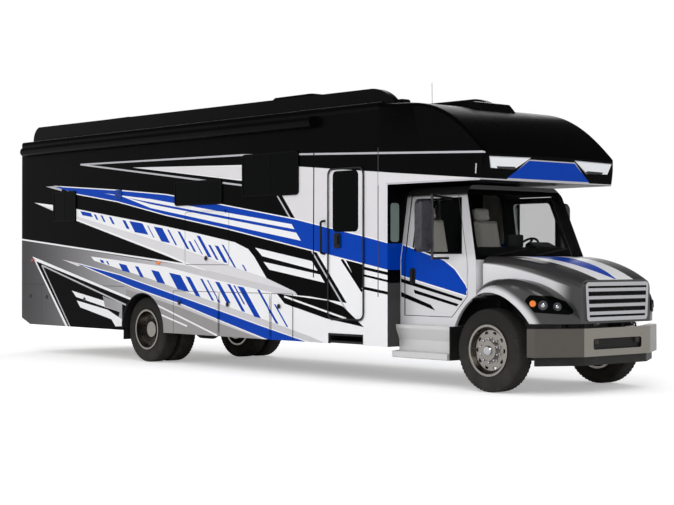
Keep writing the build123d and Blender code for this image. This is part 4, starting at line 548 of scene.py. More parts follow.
def cut_along(mesh, faces, polygon, u, v):
    """Cuts these faces along a polygon's edges; u and v are the two axes that it is drawn in."""
    for start, end in zip(polygon, polygon[1:] + polygon[:1]):
        low = [min(pair) for pair in zip(start, end)]
        high = [max(pair) for pair in zip(start, end)]
        near = [face for face in faces if meets([(p.co[u], p.co[v]) for p in face.verts], low, high)]
        if not near:
            continue
        point, normal = Vector((0, 0, 0)), Vector((0, 0, 0))
        point[u], point[v] = start
        normal[u], normal[v] = start[1] - end[1], end[0] - start[0]
        edges = {edge for face in near for edge in face.edges}
        verts = {vert for face in near for vert in face.verts}
        known = set(mesh.faces)
        done = bmesh.ops.bisect_plane(mesh, geom=near + list(edges) + list(verts), plane_co=point,
                                      plane_no=normal.normalized(), dist=WELD)
        faces |= {item for item in done["geom"] if isinstance(item, bmesh.types.BMFace)}
        faces |= set(mesh.faces) - known
        faces = {face for face in faces if face.is_valid}
    return faces


def shade_smooth(data, sharp_degrees=SHARP):
    """Smooth shading for curved skin; faces square to an axis stay flat."""
    kept = data.attributes.get("custom_normal")
    if kept:
        data.attributes.remove(kept)
    smooth = [max(abs(c) for c in polygon.normal) < FLAT_FACE for polygon in data.polygons]
    data.polygons.foreach_set("use_smooth", smooth)
    data.set_sharp_from_angle(angle=math.radians(sharp_degrees))


print("cutting helpers ready")

# %% [markdown]
# Every small face of a cut panel takes the paint of the last polygon that its middle lies in. Faces that look
# inward get the pale lining of a finished wall. The copy then stands in for the plain solid.

# %% Painting the walls and their doors
PAINT_ORDER = list(PAINTS)
FACES_AXIS = 0.6
PLACES = ("rear", "middle", "front")
RIGHT_PANELS = ["house_wall_right", "entry_door", "upper_cargo_door"]
LEFT_PANELS = ["house_wall_left", "slideout"]


def added(name, data, body):
    """A new object that rides on a body."""
    made = bpy.data.objects.new(name, data)
    scene.collection.objects.link(made)
    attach(made, body)
    return made


def painted(name, base, looks, lining=None, core=None):
    """A copy of a node's mesh with its outward faces painted; looks are (axis, sign, layers).

    Faces that look against a look, or towards the point core, take the lining.
    """
    mesh = node_mesh(name)
    bmesh.ops.remove_doubles(mesh, verts=mesh.verts, dist=WELD)
    low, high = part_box(name)
    lined = PAINT_ORDER.index(lining) if lining else -1
    for face in mesh.faces:
        face.material_index = PAINT_ORDER.index(base)
        if core and face.normal.dot(Vector(core) - face.calc_center_median()) > 0:
            face.material_index = lined
    for axis, sign, layers in looks:
        u, v = [k for k in range(3) if k != axis]
        corners = (low[u], low[v]), (high[u], high[v])
        live = [(paint, polygon) for paint, polygon in layers if meets(polygon, *corners)]
        faces = set()
        for face in mesh.faces:
            facing = face.normal[axis] * sign
            if lining and not core and facing < -FACES_AXIS:
                face.material_index = lined
            if facing > FACES_AXIS and not (core and face.material_index == lined):
                faces.add(face)
        for _, polygon in live:
            faces = cut_along(mesh, faces, polygon, u, v)
        for face in faces:
            middle = face.calc_center_median()
            for paint, polygon in reversed(live):
                if inside_polygon((middle[u], middle[v]), polygon):
                    face.material_index = PAINT_ORDER.index(paint)
                    break
    data = bpy.data.meshes.new(name + "_paint")
    mesh.to_mesh(data)
    mesh.free()
    for paint in PAINT_ORDER:
        data.materials.append(PAINTS[paint])
    shade_smooth(data)
    panel = added(name + "_painted", data, body_of[name])
    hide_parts(name)
    return panel


panels = []
for side, sign, names in (("right", RIGHT, RIGHT_PANELS), ("left", LEFT, LEFT_PANELS)):
    for name in names + [f"cargo_door_{side}_{place}" for place in PLACES]:
        panels.append(painted(name, "black", [(1, sign, WALL_LAYERS)], lining="inside"))
print("painted panels", {panel.name: len(panel.data.polygons) for panel in panels})

# %% [markdown]
# The cap over the cab carries the trim line on its sides and a blue plate on its front, left blank. A silver
# strip runs along its lower edge. The rear moulding takes the grey field round the corner, and the bulkhead
# beside the cab repeats the band where the wall ends, with a low dark grey band of painted shade under it.

# %% Cap, rear and bulkhead paint
WIDE = 1.4
STRIP_LOW, STRIP_HIGH = 2.570, 2.586
PLATE = [(-0.785, 2.600), (0.785, 2.600), (0.434, 2.825), (-0.434, 2.825)]
PLATE_EDGE = 0.014


def band(low, high):
    """A field over the whole width between two heights."""
    return [(-WIDE, low), (WIDE, low), (WIDE, high), (-WIDE, high)]


CAP_FRONT = [("silver", band(STRIP_LOW, STRIP_HIGH)), ("silver", outlined(PLATE, PLATE_EDGE)),
             ("blue", PLATE)]
CAP_SIDE = [("pale", [(3.15, 2.56), (4.93, 2.56), (4.93, STRIP_HIGH), (3.15, 2.735)]),
            ("silver", line((4.868, 2.765), (4.858, 2.645), CAP_LINE)),
            ("silver", [(3.30, STRIP_LOW), (5.10, STRIP_LOW), (5.10, STRIP_HIGH), (3.30, STRIP_HIGH)])]
REAR_FIELD = [("grey", band(SKIRT, 1.95)), ("white", line((-WIDE, 1.955), (WIDE, 1.955)))]
# The low band on the bulkhead is painted shade.
BULKHEAD = [("blue", band(1.47, 1.81)), ("charcoal", band(SKIRT, 1.30))]
LAMP_NOTCH = [(0.70, 2.740), (1.02, 2.735), (1.00, 2.705), (0.62, 2.705)]
LAMP_LIP = [(0.42, 2.862), (1.17, 2.850), (1.17, 2.838), (0.44, 2.850)]
TAIL_LAYERS = [("seam", band(1.484, 1.576)), ("lens", band(1.490, 1.570)),
               ("seam", band(1.629, 1.640)), ("amber", band(1.640, 1.730))]


def both_sides(layers):
    return [(1, sign, layers) for sign in SIDES.values()]


painted("front_cap", "black", both_sides(WALL_LAYERS + CAP_SIDE) + [(0, 1, CAP_FRONT)])
painted("house_rear", "black", both_sides(WALL_LAYERS) + [(0, -1, REAR_FIELD)])
painted("house_front", "black", both_sides(WALL_LAYERS) + [(0, 1, BULKHEAD)])
lamp_layers = []
for paint, outline in (("seam", LAMP_NOTCH), ("silver", LAMP_LIP)):
    lamp_layers += [(paint, outline), (paint, [(-y, z) for y, z in outline])]
painted("cap_lamps", "lens", [(0, 1, lamp_layers)])
painted("tail_lamps", "red", [(0, -1, TAIL_LAYERS)])
print("cap, rear, bulkhead, cap lamps and tail lamps painted")

# %% [markdown]
# The truck cab is silver, with charcoal painted where it looks up as a painted reflection of a dark ceiling.
# Its doors take the end of the blue band and the last pin stripes, a black surround frames the windshield,
# and a white and blue stripe runs down the hood to the grille.

# %% Cab and hood paint
DOOR_PANE = [(3.545, 1.69), (4.405, 1.69), (4.295, 2.365), (3.545, 2.365)]
PANE_SURROUND = 0.024
DOOR_BLUE = [(3.345, 1.79), (4.115, 1.59), (4.305, 1.48), (4.535, 1.24), (4.505, 1.16), (3.345, 1.40)]
CAB_LAYERS = [
    ("black", outlined(DOOR_PANE, PANE_SURROUND)),
    ("white", outlined(DOOR_BLUE)),
    ("blue", DOOR_BLUE),
    ("black", [(3.345, 1.36), (4.445, 1.12), (4.425, 1.09), (3.345, 1.31)]),
    ("black", [(3.575, 1.22), (4.375, 1.05), (4.345, 1.02), (3.595, 1.17)]),
    ("black", [(3.345, 1.185), (3.885, 1.03), (3.965, 0.96), (3.345, 1.125)]),
]
WINDSHIELD_SURROUND = [("black", [(-1.06, 1.60), (1.06, 1.60), (1.02, 1.90), (0.93, 2.44), (0.86, 2.485),
                                  (-0.86, 2.485), (-0.93, 2.44), (-1.02, 1.90)])]
HOOD_WHITE = [(4.70, 0.52), (5.30, 0.47), (5.62, 0.41), (6.01, 0.33)]
HOOD_BLUE = [(4.70, 0.30), (5.06, 0.26), (5.35, 0.20), (5.62, 0.145), (5.80, 0.09), (5.985, 0.015)]
CABIN_MIDDLE, UNDER_HOOD = (4.0, 0.0, 1.75), (5.30, 0.0, 0.90)
UNDER_CAB_Y, UNDER_CAB_Z = 0.95, 1.20


def both_halves(edge):
    return edge + [(x, -y) for x, y in reversed(edge)]


for side, sign in SIDES.items():
    painted(f"cab_door_{side}", "cab", [(1, sign, CAB_LAYERS)], lining="cabin")
cab_looks = both_sides(CAB_LAYERS) + [(0, 1, WINDSHIELD_SURROUND)]
cab = painted("cab_body", "cab", cab_looks, lining="cabin", core=CABIN_MIDDLE)
for polygon in cab.data.polygons:
    if abs(polygon.center.y) < UNDER_CAB_Y and polygon.center.z < UNDER_CAB_Z:
        polygon.material_index = PAINT_ORDER.index("cabin")
HOOD_LAYERS = [("white", both_halves(HOOD_WHITE)), ("blue", both_halves(HOOD_BLUE))]
# The hood paint carries the painted charcoal reflection over its top and the fenders' crowns.
painted("hood", "hood", [(2, 1, HOOD_LAYERS)], lining="cabin", core=UNDER_HOOD)
print("cab and hood painted")

# %% [markdown]
# Most trim is a flat plate with rounded corners, a turned part or a bent tube. A few helpers build those in
# mesh code. Each takes a frame of three directions, so the same handle or lamp can stand on a side wall, a
# door or the front. Trim starts a little below the skin it stands on, so no gap shows.

# %% Trim helpers
CORNER_STEPS = 5
SUNK = 0.002
TUBE_ROUNDNESS = 3


def rounded(width, height, corner):
    """A rounded rectangle about the origin, as points in order."""
    points = []
    for quarter, (su, sv) in enumerate(((1, 1), (-1, 1), (-1, -1), (1, -1))):
        centre = (su * (width / 2 - corner), sv * (height / 2 - corner))
        for step in range(CORNER_STEPS + 1):
            angle = math.pi / 2 * (quarter + step / CORNER_STEPS)
            points.append((centre[0] + corner * math.cos(angle), centre[1] + corner * math.sin(angle)))
    return points


def placing(origin, u, v, w):
    """The matrix that carries local u, v, w directions to a place on the vehicle."""
    columns = [Vector(u), Vector(v), Vector(w), Vector(origin)]
    return Matrix([[column[row] for column in columns] for row in range(3)] + [[0, 0, 0, 1]])


def on_side(side, x, z, y=WALL_Y):
    return placing((x, side * y, z), (1, 0, 0), (0, 0, 1), (0, side, 0))


def facing_x(origin, way=1):
    return placing(origin, (0, 1, 0), (0, 0, 1), (way, 0, 0))


def join_rings(mesh, rings):
    """Quads between each ring of points and the next."""
    for lower, upper in zip(rings, rings[1:]):
        for i in range(len(lower)):
            j = (i + 1) % len(lower)
            mesh.faces.new((lower[i], lower[j], upper[j], upper[i]))


def ring_points(mesh, rings, place):
    return [[mesh.verts.new(place @ Vector(point)) for point in ring] for ring in rings]


def capped(mesh, rings, place):
    """Joins rings of points, each a list of (u, v, w), and closes both ends."""
    made = ring_points(mesh, rings, place)
    join_rings(mesh, made)
    mesh.faces.new(list(reversed(made[0])))
    mesh.faces.new(made[-1])


def plate(mesh, place, outline, low, high, bevel=0.0):
    """A flat plate from w = low to w = high, with its front edge eased by bevel."""
    middle = [sum(point[k] for point in outline) / len(outline) for k in (0, 1)]
    reach = max(abs(point[k] - middle[k]) for point in outline for k in (0, 1))
    share = 1 - bevel / reach
    rings = [[(u, v, low) for u, v in outline], [(u, v, high - bevel) for u, v in outline]]
    if bevel:
        rings.append([(middle[0] + (u - middle[0]) * share, middle[1] + (v - middle[1]) * share, high)
                      for u, v in outline])
    capped(mesh, rings, place)


def ring_plate(mesh, place, width, height, corner, border, high):
    """A flat frame: the rounded outline less its inside."""
    outer = rounded(width, height, corner)
    inner = rounded(width - 2 * border, height - 2 * border, corner - border / 2)
    edges = ((outer, -SUNK), (outer, high), (inner, high), (inner, -SUNK))
    made = ring_points(mesh, [[(u, v, w) for u, v in outline] for outline, w in edges], place)
    join_rings(mesh, made + made[:1])


def turned(mesh, place, profile, steps=24):
    """A turned part: profile rows are (radius, w) from back to front."""
    angles = [2 * math.pi * i / steps for i in range(steps)]
    rings = [[(radius * math.cos(a), radius * math.sin(a), w) for a in angles] for radius, w in profile]
    capped(mesh, rings, place)


def piece(name, mesh, material, body="chassis", sharp_degrees=30):
    """A mesh as a piece of trim in the named finish, riding on a body."""
    bmesh.ops.recalc_face_normals(mesh, faces=mesh.faces)
    data = bpy.data.meshes.new(name)
    mesh.to_mesh(data)
    mesh.free()
    data.materials.append(FINISHES[material])
    shade_smooth(data, sharp_degrees)
    return added(name, data, body)


def tube(name, points, radius):
    """A bent tube of black trim on the chassis, drawn smoothly by its control points."""
    curve = bpy.data.curves.new(name, "CURVE")
    curve.dimensions = "3D"
    spline = curve.splines.new("NURBS")
    spline.points.add(len(points) - 1)
    for point, place in zip(spline.points, points):
        point.co = (*place, 1.0)
    spline.order_u = 3
    spline.use_endpoint_u = True
    curve.bevel_depth = radius
    curve.bevel_resolution = TUBE_ROUNDNESS
    curve.use_fill_caps = True
    curve.materials.append(FINISHES["trim_black"])
    added(name, curve, "chassis")


print("helpers ready")

# %% [markdown]
# A truck tyre is a turned ring: bead, bulging wall with a raised rib, shoulder and a tread with grooves round
# it. The profile is turned in many steps, and at every third step the shoulder drops a little, which makes
# the side lugs.

# %% Tyres
TYRE_STEPS = 168
LUG_STEP, LUG_DROP = 3, 0.010
BEAD_R, BEAD_HALF, TREAD_R = 0.302, 0.084, 0.5055
# One side of the tyre from the bead to the tread, as (radius, half width)
TYRE_WALL = [(BEAD_R, 0.108), (0.310, 0.114), (0.335, 0.127), (0.350, 0.1325), (0.353, 0.1355),
             (0.361, 0.1360), (0.364, 0.1340), (0.400, 0.136), (0.440, 0.1345), (0.458, 0.1315)]
TYRE_LUGS = [(0.461, 0.1330), (0.478, 0.128), (0.496, 0.119), (0.5035, 0.108)]
GROOVES = [-0.066, -0.022, 0.022, 0.066]
GROOVE_HALF, GROOVE_DEPTH, GROOVE_FLOOR = 0.006, 0.013, 0.6
FRONT_WHEEL_Y, REAR_WHEEL_Y, DUAL_SPACING = 1.030, 1.055, 0.335


def tyre_profile():
    """The outline round a tyre's section, as (radius, place across, is a lug)."""
    flank = [(*row, False) for row in TYRE_WALL] + [(*row, True) for row in TYRE_LUGS]
    groove = [(-1, 0.0), (-GROOVE_FLOOR, GROOVE_DEPTH), (GROOVE_FLOOR, GROOVE_DEPTH), (1, 0.0)]
    tread = [(TREAD_R - depth, y + share * GROOVE_HALF, False) for y in GROOVES for share, depth in groove]
    bore = [(BEAD_R, BEAD_HALF, False), (BEAD_R, -BEAD_HALF, False)]
    return [(radius, -half, lug) for radius, half, lug in flank] + tread + flank[::-1] + bore


def tyre(mesh, x, y):
    rings = []
    for step in range(TYRE_STEPS):
        angle = 2 * math.pi * step / TYRE_STEPS
        ring = []
        for radius, across, lug in tyre_profile():
            reach = radius - LUG_DROP if lug and step % LUG_STEP == 0 else radius
            place = (x + reach * math.sin(angle), y + across, AXLE_Z + reach * math.cos(angle))
            ring.append(mesh.verts.new(place))
        rings.append(ring)
    join_rings(mesh, rings + rings[:1])


for side, sign in SIDES.items():
    for axle, node, x, ys in (
            ("front", f"front_{side}_tyre", FRONT_AXLE_X, [FRONT_WHEEL_Y]),
            ("rear", f"rear_{side}_tyres", REAR_AXLE_X, [REAR_WHEEL_Y, REAR_WHEEL_Y - DUAL_SPACING])):
        mesh = bmesh.new()
        for y in ys:
            tyre(mesh, x, sign * y)
        ring = piece(f"{axle}_tyre_{side}", mesh, "tyre_rubber", body_of[node], sharp_degrees=24)
        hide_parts(node)
print("tyres", TYRE_STEPS, "steps of", len(tyre_profile()), "points")

# %% [markdown]
# The polished wheels are solids already. Ten capped nuts stand round each hub, and a turned cap closes the
# middle. On the front axle the wheel's disc bulges outward and on the rear it is deep inside, so the depth is
# measured by a ray cast at the disc from the side.

# %% Wheel nuts and hub caps
NUTS, NUT_CIRCLE = 10, 0.1425
NUT_PROFILE = [(0.021, 0.0), (0.021, 0.010), (0.0165, 0.012), (0.0165, 0.034), (0.012, 0.043), (0.004, 0.046)]
FRONT_CAP = [(0.085, 0.0), (0.085, 0.030), (0.080, 0.042), (0.062, 0.048), (0.060, 0.066), (0.050, 0.076),
             (0.010, 0.080)]
REAR_CAP = [(0.112, 0.0), (0.112, 0.014), (0.088, 0.018), (0.088, 0.068), (0.085, 0.080), (0.076, 0.092),
            (0.060, 0.102), (0.038, 0.108), (0.012, 0.111)]
FAR_OUT = 2.0


def skin_tree(name):
    """A node's surface, ready for ray casts and nearest points."""
    mesh = node_mesh(name)
    tree = BVHTree.FromBMesh(mesh)
    mesh.free()
    return tree


def surface_y(name, x, z, side):
    """How far out a node's surface stands at a place, looked at from the side."""
    spot = skin_tree(name).ray_cast(Vector((x, side * FAR_OUT, z)), Vector((0, -side, 0)))[0]
    return side * spot.y


for side, sign in SIDES.items():
    for node, axle_x, cap in ((f"front_{side}_rim", FRONT_AXLE_X, FRONT_CAP),
                              (f"rear_{side}_rims", REAR_AXLE_X, REAR_CAP)):
        mesh = bmesh.new()
        disc_y = surface_y(node, axle_x, AXLE_Z + NUT_CIRCLE, sign) - SUNK
        for i in range(NUTS):
            angle = 2 * math.pi * i / NUTS
            x, z = axle_x + NUT_CIRCLE * math.sin(angle), AXLE_Z + NUT_CIRCLE * math.cos(angle)
            turned(mesh, on_side(sign, x, z, disc_y), NUT_PROFILE, steps=12)
        turned(mesh, on_side(sign, axle_x, AXLE_Z, disc_y), cap, steps=32)
        piece(node + "_nuts", mesh, "bright_chrome", body_of[node])
        print(node, "nuts from", round(disc_y, 3))

# %% [markdown]
# The cab has two cream leather chairs: a cushion, a tall back, a headrest and two armrests on a dark base.
# Padding is not a box, so each pad starts as a rounded block and is inflated by cloth pressure; seams are
# then pressed in.

# %% Padding
VOXEL = 0.009
PAD_ROUND = 0.36
PUFF_FRAMES, PUFF_LIMIT, PUFF_PRESSURE, PUFF_QUALITY = 14, 0.014, 4.0, 4
SEAM_DEPTH, SEAM_WIDTH = 0.010, 0.012


def block(name, size):
    """A box with well rounded edges, remeshed to an even skin that cloth can use."""
    mesh = bmesh.new()
    bmesh.ops.create_cube(mesh, size=1.0)
    bmesh.ops.scale(mesh, vec=size, verts=mesh.verts)
    bmesh.ops.bevel(mesh, geom=list(mesh.edges), offset=PAD_ROUND * min(size), segments=4, profile=0.5,
                    affect="EDGES")
    data = bpy.data.meshes.new(name)
    mesh.to_mesh(data)
    mesh.free()
    made = bpy.data.objects.new(name, data)
    scene.collection.objects.link(made)
    remesh = made.modifiers.new("skin", "REMESH")
    remesh.mode = "VOXEL"
    remesh.voxel_size = VOXEL
    return made


def settle(made):
    """Replaces an object's mesh by what its modifiers give at this frame."""
    depsgraph = bpy.context.evaluated_depsgraph_get()
    data = bpy.data.meshes.new_from_object(made.evaluated_get(depsgraph))
    made.modifiers.clear()
    made.data = data


def puffed(made):
    """Inflates a pad with cloth pressure and keeps every point within a short way of where it was."""
    rest = [vert.co.copy() for vert in made.data.vertices]
    cloth = made.modifiers.new("puff", "CLOTH")
    cloth.settings.use_pressure = True
    cloth.settings.uniform_pressure_force = PUFF_PRESSURE
    cloth.settings.effector_weights.gravity = 0.0
    cloth.settings.quality = PUFF_QUALITY
    for step in range(1, PUFF_FRAMES + 1):
        scene.frame_set(step)
    settle(made)
    scene.frame_set(1)
    for vert, was in zip(made.data.vertices, rest):
        move = vert.co - was
        if move.length > PUFF_LIMIT:
            vert.co = was + move * (PUFF_LIMIT / move.length)


def pressed(made, size, seams_x, seams_y):
    """Presses seams into the pad's thin direction, at these places along x and along y."""
    thin = size.index(min(size))
    for vert in made.data.vertices:
        gaps = [abs(vert.co.x - place) for place in seams_x] + [abs(vert.co.y - place) for place in seams_y]
        depth = max([0.0] + [1 - gap / SEAM_WIDTH for gap in gaps])
        if depth > 0:
            vert.co[thin] -= math.copysign(SEAM_DEPTH * depth, vert.co[thin])


print("pad skin of", VOXEL, "m, puffed by up to", PUFF_LIMIT)

# %% [markdown]
# Each pad is one row: its size, where its middle is on the chair, how far it leans and where its seams run.
# Both chairs use the same rows. Together the pads replace the plain seats.

# %% Chairs
SEAT_X, SEAT_Y, SEAT_Z = 3.375, 0.52, 1.40
BACK_LEAN = math.radians(12)
ARM_SIZE = (0.34, 0.062, 0.075)
PADS = {
    "cushion": ((0.47, 0.46, 0.115), (0.275, 0, 0.060), 0.0, (-0.08,), (-0.14, 0.14)),
    "back": ((0.115, 0.46, 0.60), (0.030, 0, 0.440), BACK_LEAN, (), (-0.145, 0.145)),
    "headrest": ((0.095, 0.27, 0.165), (-0.085, 0, 0.815), BACK_LEAN, (), ()),
    "arm_inner": (ARM_SIZE, (0.215, 0.222, 0.245), 0.0, (), ()),
    "arm_outer": (ARM_SIZE, (0.215, -0.222, 0.245), 0.0, (), ()),
}
STAND_X, STAND_Z = 0.28, 1.135
# Plates of the stand: (length, width, corner), from, to, bevel
STAND_PLATES = [((0.40, 0.36, 0.04), 0.0, 0.20, 0.01), ((0.44, 0.42, 0.05), 0.20, 0.300, 0.02)]


def chair_pads(side, sign):
    made = []
    for part, (size, middle, lean, seams_x, seams_y) in PADS.items():
        pad = block(f"seat_{part}_{side}", size)
        settle(pad)
        puffed(pad)
        pressed(pad, size, seams_x, seams_y)
        place = Vector((SEAT_X, sign * SEAT_Y, SEAT_Z)) + Vector(middle)
        pad.data.transform(Matrix.Translation(place) @ Matrix.Rotation(-lean, 4, "Y"))
        pad.data.materials.clear()
        pad.data.materials.append(FINISHES["seat_leather"])
        shade_smooth(pad.data, sharp_degrees=60)
        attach(pad, "chassis")
        made.append(pad)
    return made


chairs = []
for side, sign in SIDES.items():
    chairs += chair_pads(side, sign)
    mesh = bmesh.new()
    base = placing((SEAT_X + STAND_X, sign * SEAT_Y, STAND_Z), (1, 0, 0), (0, 1, 0), (0, 0, 1))
    for size, low, high, bevel in STAND_PLATES:
        plate(mesh, base, rounded(*size), low, high, bevel)
    piece(f"seat_stand_{side}", mesh, "trim_black")
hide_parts("cab_seats")
print("chair pads", len(chairs), "points", sum(len(pad.data.vertices) for pad in chairs))

# %% [markdown]
# Windows on the house are tinted panes in dark frames with a divider where the pane slides. Each pane is an
# island of the window solid, so its place is measured from the mesh and the frame is built round it.

# %% Window frames
FRAME_WIDTH, FRAME_PROUD = 0.026, 0.006
PANE_CORNER = 0.055
NARROWEST_FRAMED = 0.3
DIVIDER_WIDTH, DIVIDER_SHORTER, DIVIDER_CORNER = 0.022, 0.05, 0.004
DIVIDER_PROUD, DIVIDER_BEVEL = 0.004, 0.002
SIDE_PANE_X = 3.2


def islands(name):
    """The low and high corners of each loose part of a node's mesh."""
    mesh = node_mesh(name)
    bmesh.ops.remove_doubles(mesh, verts=mesh.verts, dist=WELD)
    left, boxes = set(mesh.verts), []
    while left:
        stack, members = [left.pop()], []
        while stack:
            vert = stack.pop()
            members.append(vert.co.copy())
            for edge in vert.link_edges:
                other = edge.other_vert(vert)
                if other in left:
                    left.remove(other)
                    stack.append(other)
        boxes.append([(min(c[k] for c in members), max(c[k] for c in members)) for k in range(3)])
    mesh.free()
    return boxes


window_count = 0
for node in ("house_windows", "slideout_glass"):
    mesh = bmesh.new()
    for xs, ys, zs in islands(node):
        width, height = xs[1] - xs[0], zs[1] - zs[0]
        if width < NARROWEST_FRAMED:
            continue
        side = RIGHT if ys[0] < 0 else LEFT
        place = on_side(side, sum(xs) / 2, sum(zs) / 2, max(abs(ys[0]), abs(ys[1])))
        ring_plate(mesh, place, width, height, PANE_CORNER, FRAME_WIDTH, FRAME_PROUD)
        divider = rounded(DIVIDER_WIDTH, height - DIVIDER_SHORTER, DIVIDER_CORNER)
        plate(mesh, place, divider, -SUNK, DIVIDER_PROUD, DIVIDER_BEVEL)
        window_count += 1
    piece(node + "_frames", mesh, "gloss_black", body_of[node])
# Panes forward of SIDE_PANE_X take glass with a painted grey-green reflection.
refinish("house_windows", "pane_painted_reflection", lambda face: face.center.x > SIDE_PANE_X)
print("window frames", window_count)

# %% [markdown]
# Small fittings repeat along both walls: flush latches on the cargo doors, marker lamps, and the door handles
# of the cab. Tables give their places. Each latch rides on its own door, so it swings along.

# %% Latches, markers and cab handles
DOOR_FACE_Y = 1.286
LATCH_RINGS = [(0.034, -SUNK), (0.034, 0.006), (0.030, 0.009), (0.024, 0.007), (0.010, 0.006)]
LATCH_Z = 0.95
LATCH_XS = {"rear": -1.235, "middle": -0.035, "front": 1.145}
LATCHES = [(f"cargo_door_{side}_{place}", sign, LATCH_XS[place], LATCH_Z)
           for side, sign in SIDES.items() for place in PLACES]
LATCHES.append(("upper_cargo_door", RIGHT, -0.56, 1.62))
REAR_LATCHES = [(-5.685, 0.966), (-5.138, 0.962), (-3.935, 0.943)]
MARKERS = [("marker_red", -5.60, 1.585, "lamp_red"), ("marker_amber", -1.802, 1.549, "lamp_amber")]
HANDLE_X, HANDLE_Z = 3.56, 1.40
# Plates: (width, height, corner), from, to, bevel
LATCH_BAR = ((0.014, 0.05, 0.005), 0.004, 0.014, 0.003)
MARKER_LENS = ((0.105, 0.048, 0.02), -SUNK, 0.018, 0.008)
HANDLE_PLATES = [(3.56, 1.39, (0.095, 0.21, 0.04), -0.003, 0.012, 0.006),
                 (3.565, 1.385, (0.036, 0.165, 0.016), 0.010, 0.034, 0.010)]
KNOB_STEPS = 16


def fitting(side, y, plates, knobs=()):
    """Rounded plates and turned knobs on a side of the vehicle, each row starting with its x and z."""
    mesh = bmesh.new()
    for x, z, size, low, high, bevel in plates:
        plate(mesh, on_side(side, x, z, y), rounded(*size), low, high, bevel)
    for x, z, rows in knobs:
        turned(mesh, on_side(side, x, z, y), rows, KNOB_STEPS)
    return mesh


# Latches here and on the rear wall are chrome with a painted dark reflection.
for node, sign, x, z in LATCHES:
    mesh = fitting(sign, DOOR_FACE_Y, [(x, z, *LATCH_BAR)])
    turned(mesh, on_side(sign, x, z, DOOR_FACE_Y), LATCH_RINGS)
    piece(node + "_latch", mesh, "dark_chrome", body_of[node])
for side, sign in SIDES.items():
    mesh = bmesh.new()
    for x, z in REAR_LATCHES:
        turned(mesh, on_side(sign, x, z), LATCH_RINGS)
    piece(f"rear_latches_{side}", mesh, "dark_chrome")
    for name, x, z, material in MARKERS:
        mesh = fitting(sign, WALL_Y, [(x, z, *MARKER_LENS)])
        piece(f"{name}_{side}", mesh, material)
    door = f"cab_door_{side}"
    door_y = surface_y(door, HANDLE_X, HANDLE_Z, sign)
    mesh = fitting(sign, door_y, HANDLE_PLATES)
    piece(f"cab_door_handle_{side}", mesh, "trim_black", body_of[door])
print("fittings", len(LATCHES), "latches and", len(MARKERS), "kinds of marker")

# %% [markdown]
# By the entry door are a lock panel with its key holes, a long grab handle that stands off the wall, and the
# rubber round the door. Farther back a blue cover closes a wall socket, and an antenna stands on the roof.

# %% Entry door fittings, wall socket and antenna
LOCK_PLATES = [(2.375, 1.855, (0.118, 0.20, 0.018), -SUNK, 0.012, 0.005),
               (2.395, 1.865, (0.030, 0.125, 0.012), 0.010, 0.034, 0.008)]
LOCK_KNOBS = [(2.345, 1.905, [(0.014, 0.008), (0.014, 0.018), (0.004, 0.020)]),
              (2.345, 1.800, [(0.011, 0.008), (0.011, 0.016), (0.004, 0.018)])]
SOCKET_X = -2.912
SOCKET_PLATES = [(SOCKET_X, 2.638, (0.183, 0.143, 0.02), -SUNK, 0.022, 0.006),
                 (SOCKET_X, 2.668, (0.120, 0.050, 0.015), 0.020, 0.030, 0.005)]
SOCKET_KNOBS = [(SOCKET_X, 2.600, [(0.016, 0.020), (0.016, 0.028), (0.004, 0.030)])]
GRAB_X, GRAB_LOW, GRAB_HIGH = 2.105, 1.68, 2.12
GRAB_ROOT, GRAB_OUT, GRAB_BEND, GRAB_RADIUS = -0.005, 0.075, 0.07, 0.016
GRAB_LINE = [(GRAB_ROOT, GRAB_LOW), (GRAB_OUT, GRAB_LOW), (GRAB_OUT, GRAB_LOW + GRAB_BEND),
             (GRAB_OUT, GRAB_HIGH - GRAB_BEND), (GRAB_OUT, GRAB_HIGH), (GRAB_ROOT, GRAB_HIGH)]
GASKET_INSET, GASKET_CORNER, GASKET_WIDTH, GASKET_PROUD = 0.004, 0.09, 0.022, 0.003
ANTENNA = [(3.225, -0.35, 3.60), (3.223, -0.35, 3.75), (3.22, -0.35, 3.95)]
ANTENNA_RADIUS = 0.003
mesh = fitting(RIGHT, DOOR_FACE_Y, LOCK_PLATES, LOCK_KNOBS)
piece("entry_lock_panel", mesh, "trim_black", body_of["entry_door"])
grab_points = [(GRAB_X, RIGHT * (WALL_Y + out), z) for out, z in GRAB_LINE]
tube("entry_grab_handle", grab_points, GRAB_RADIUS)
low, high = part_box("entry_door")
middle, size = (low + high) / 2, high - low
mesh = bmesh.new()
ring_plate(mesh, on_side(RIGHT, middle.x, middle.z, DOOR_FACE_Y), size.x - GASKET_INSET,
           size.z - GASKET_INSET, GASKET_CORNER, GASKET_WIDTH, GASKET_PROUD)
piece("entry_door_gasket", mesh, "trim_black", body_of["entry_door"])
mesh = fitting(RIGHT, WALL_Y, SOCKET_PLATES, SOCKET_KNOBS)
piece("wall_socket_cover", mesh, "blue_fitting")
tube("roof_antenna", ANTENNA, ANTENNA_RADIUS)
print("entry door", [round(c, 3) for c in size])

# %% [markdown]
# The face of the truck: chrome grille bars before a dark back, a bumper whose ends turn away and are painted
# darker as painted shade, and mirrors of chrome with a painted dark reflection on black posts. The solids
# stay;
# parts of them only take another finish, face by face. The slot in the bumper gets a dark sheet with four
# bars.

# %% Grille, bumper and mirrors
GRILLE_BACK_X, LOOKS_FORWARD = 6.0085, 0.5
BUMPER_FACE_X, BUMPER_TOP_Z, BUMPER_TURN, BUMPER_BACK = 6.0, 0.792, 0.2, -0.3
SLOT_X, SLOT_Z, SLOT_SIZE, SLOT_DEPTH = 5.985, 0.600, (1.040, 0.190, 0.028), 0.004
GRID_BARS, GRID_X, GRID_LOW, GRID_STEP = 4, 5.988, -0.042, 0.028
GRID_BAR = ((0.980, 0.009, 0.003), 0.0, 0.012, 0.002)
MIRROR_POST_Y = 1.228


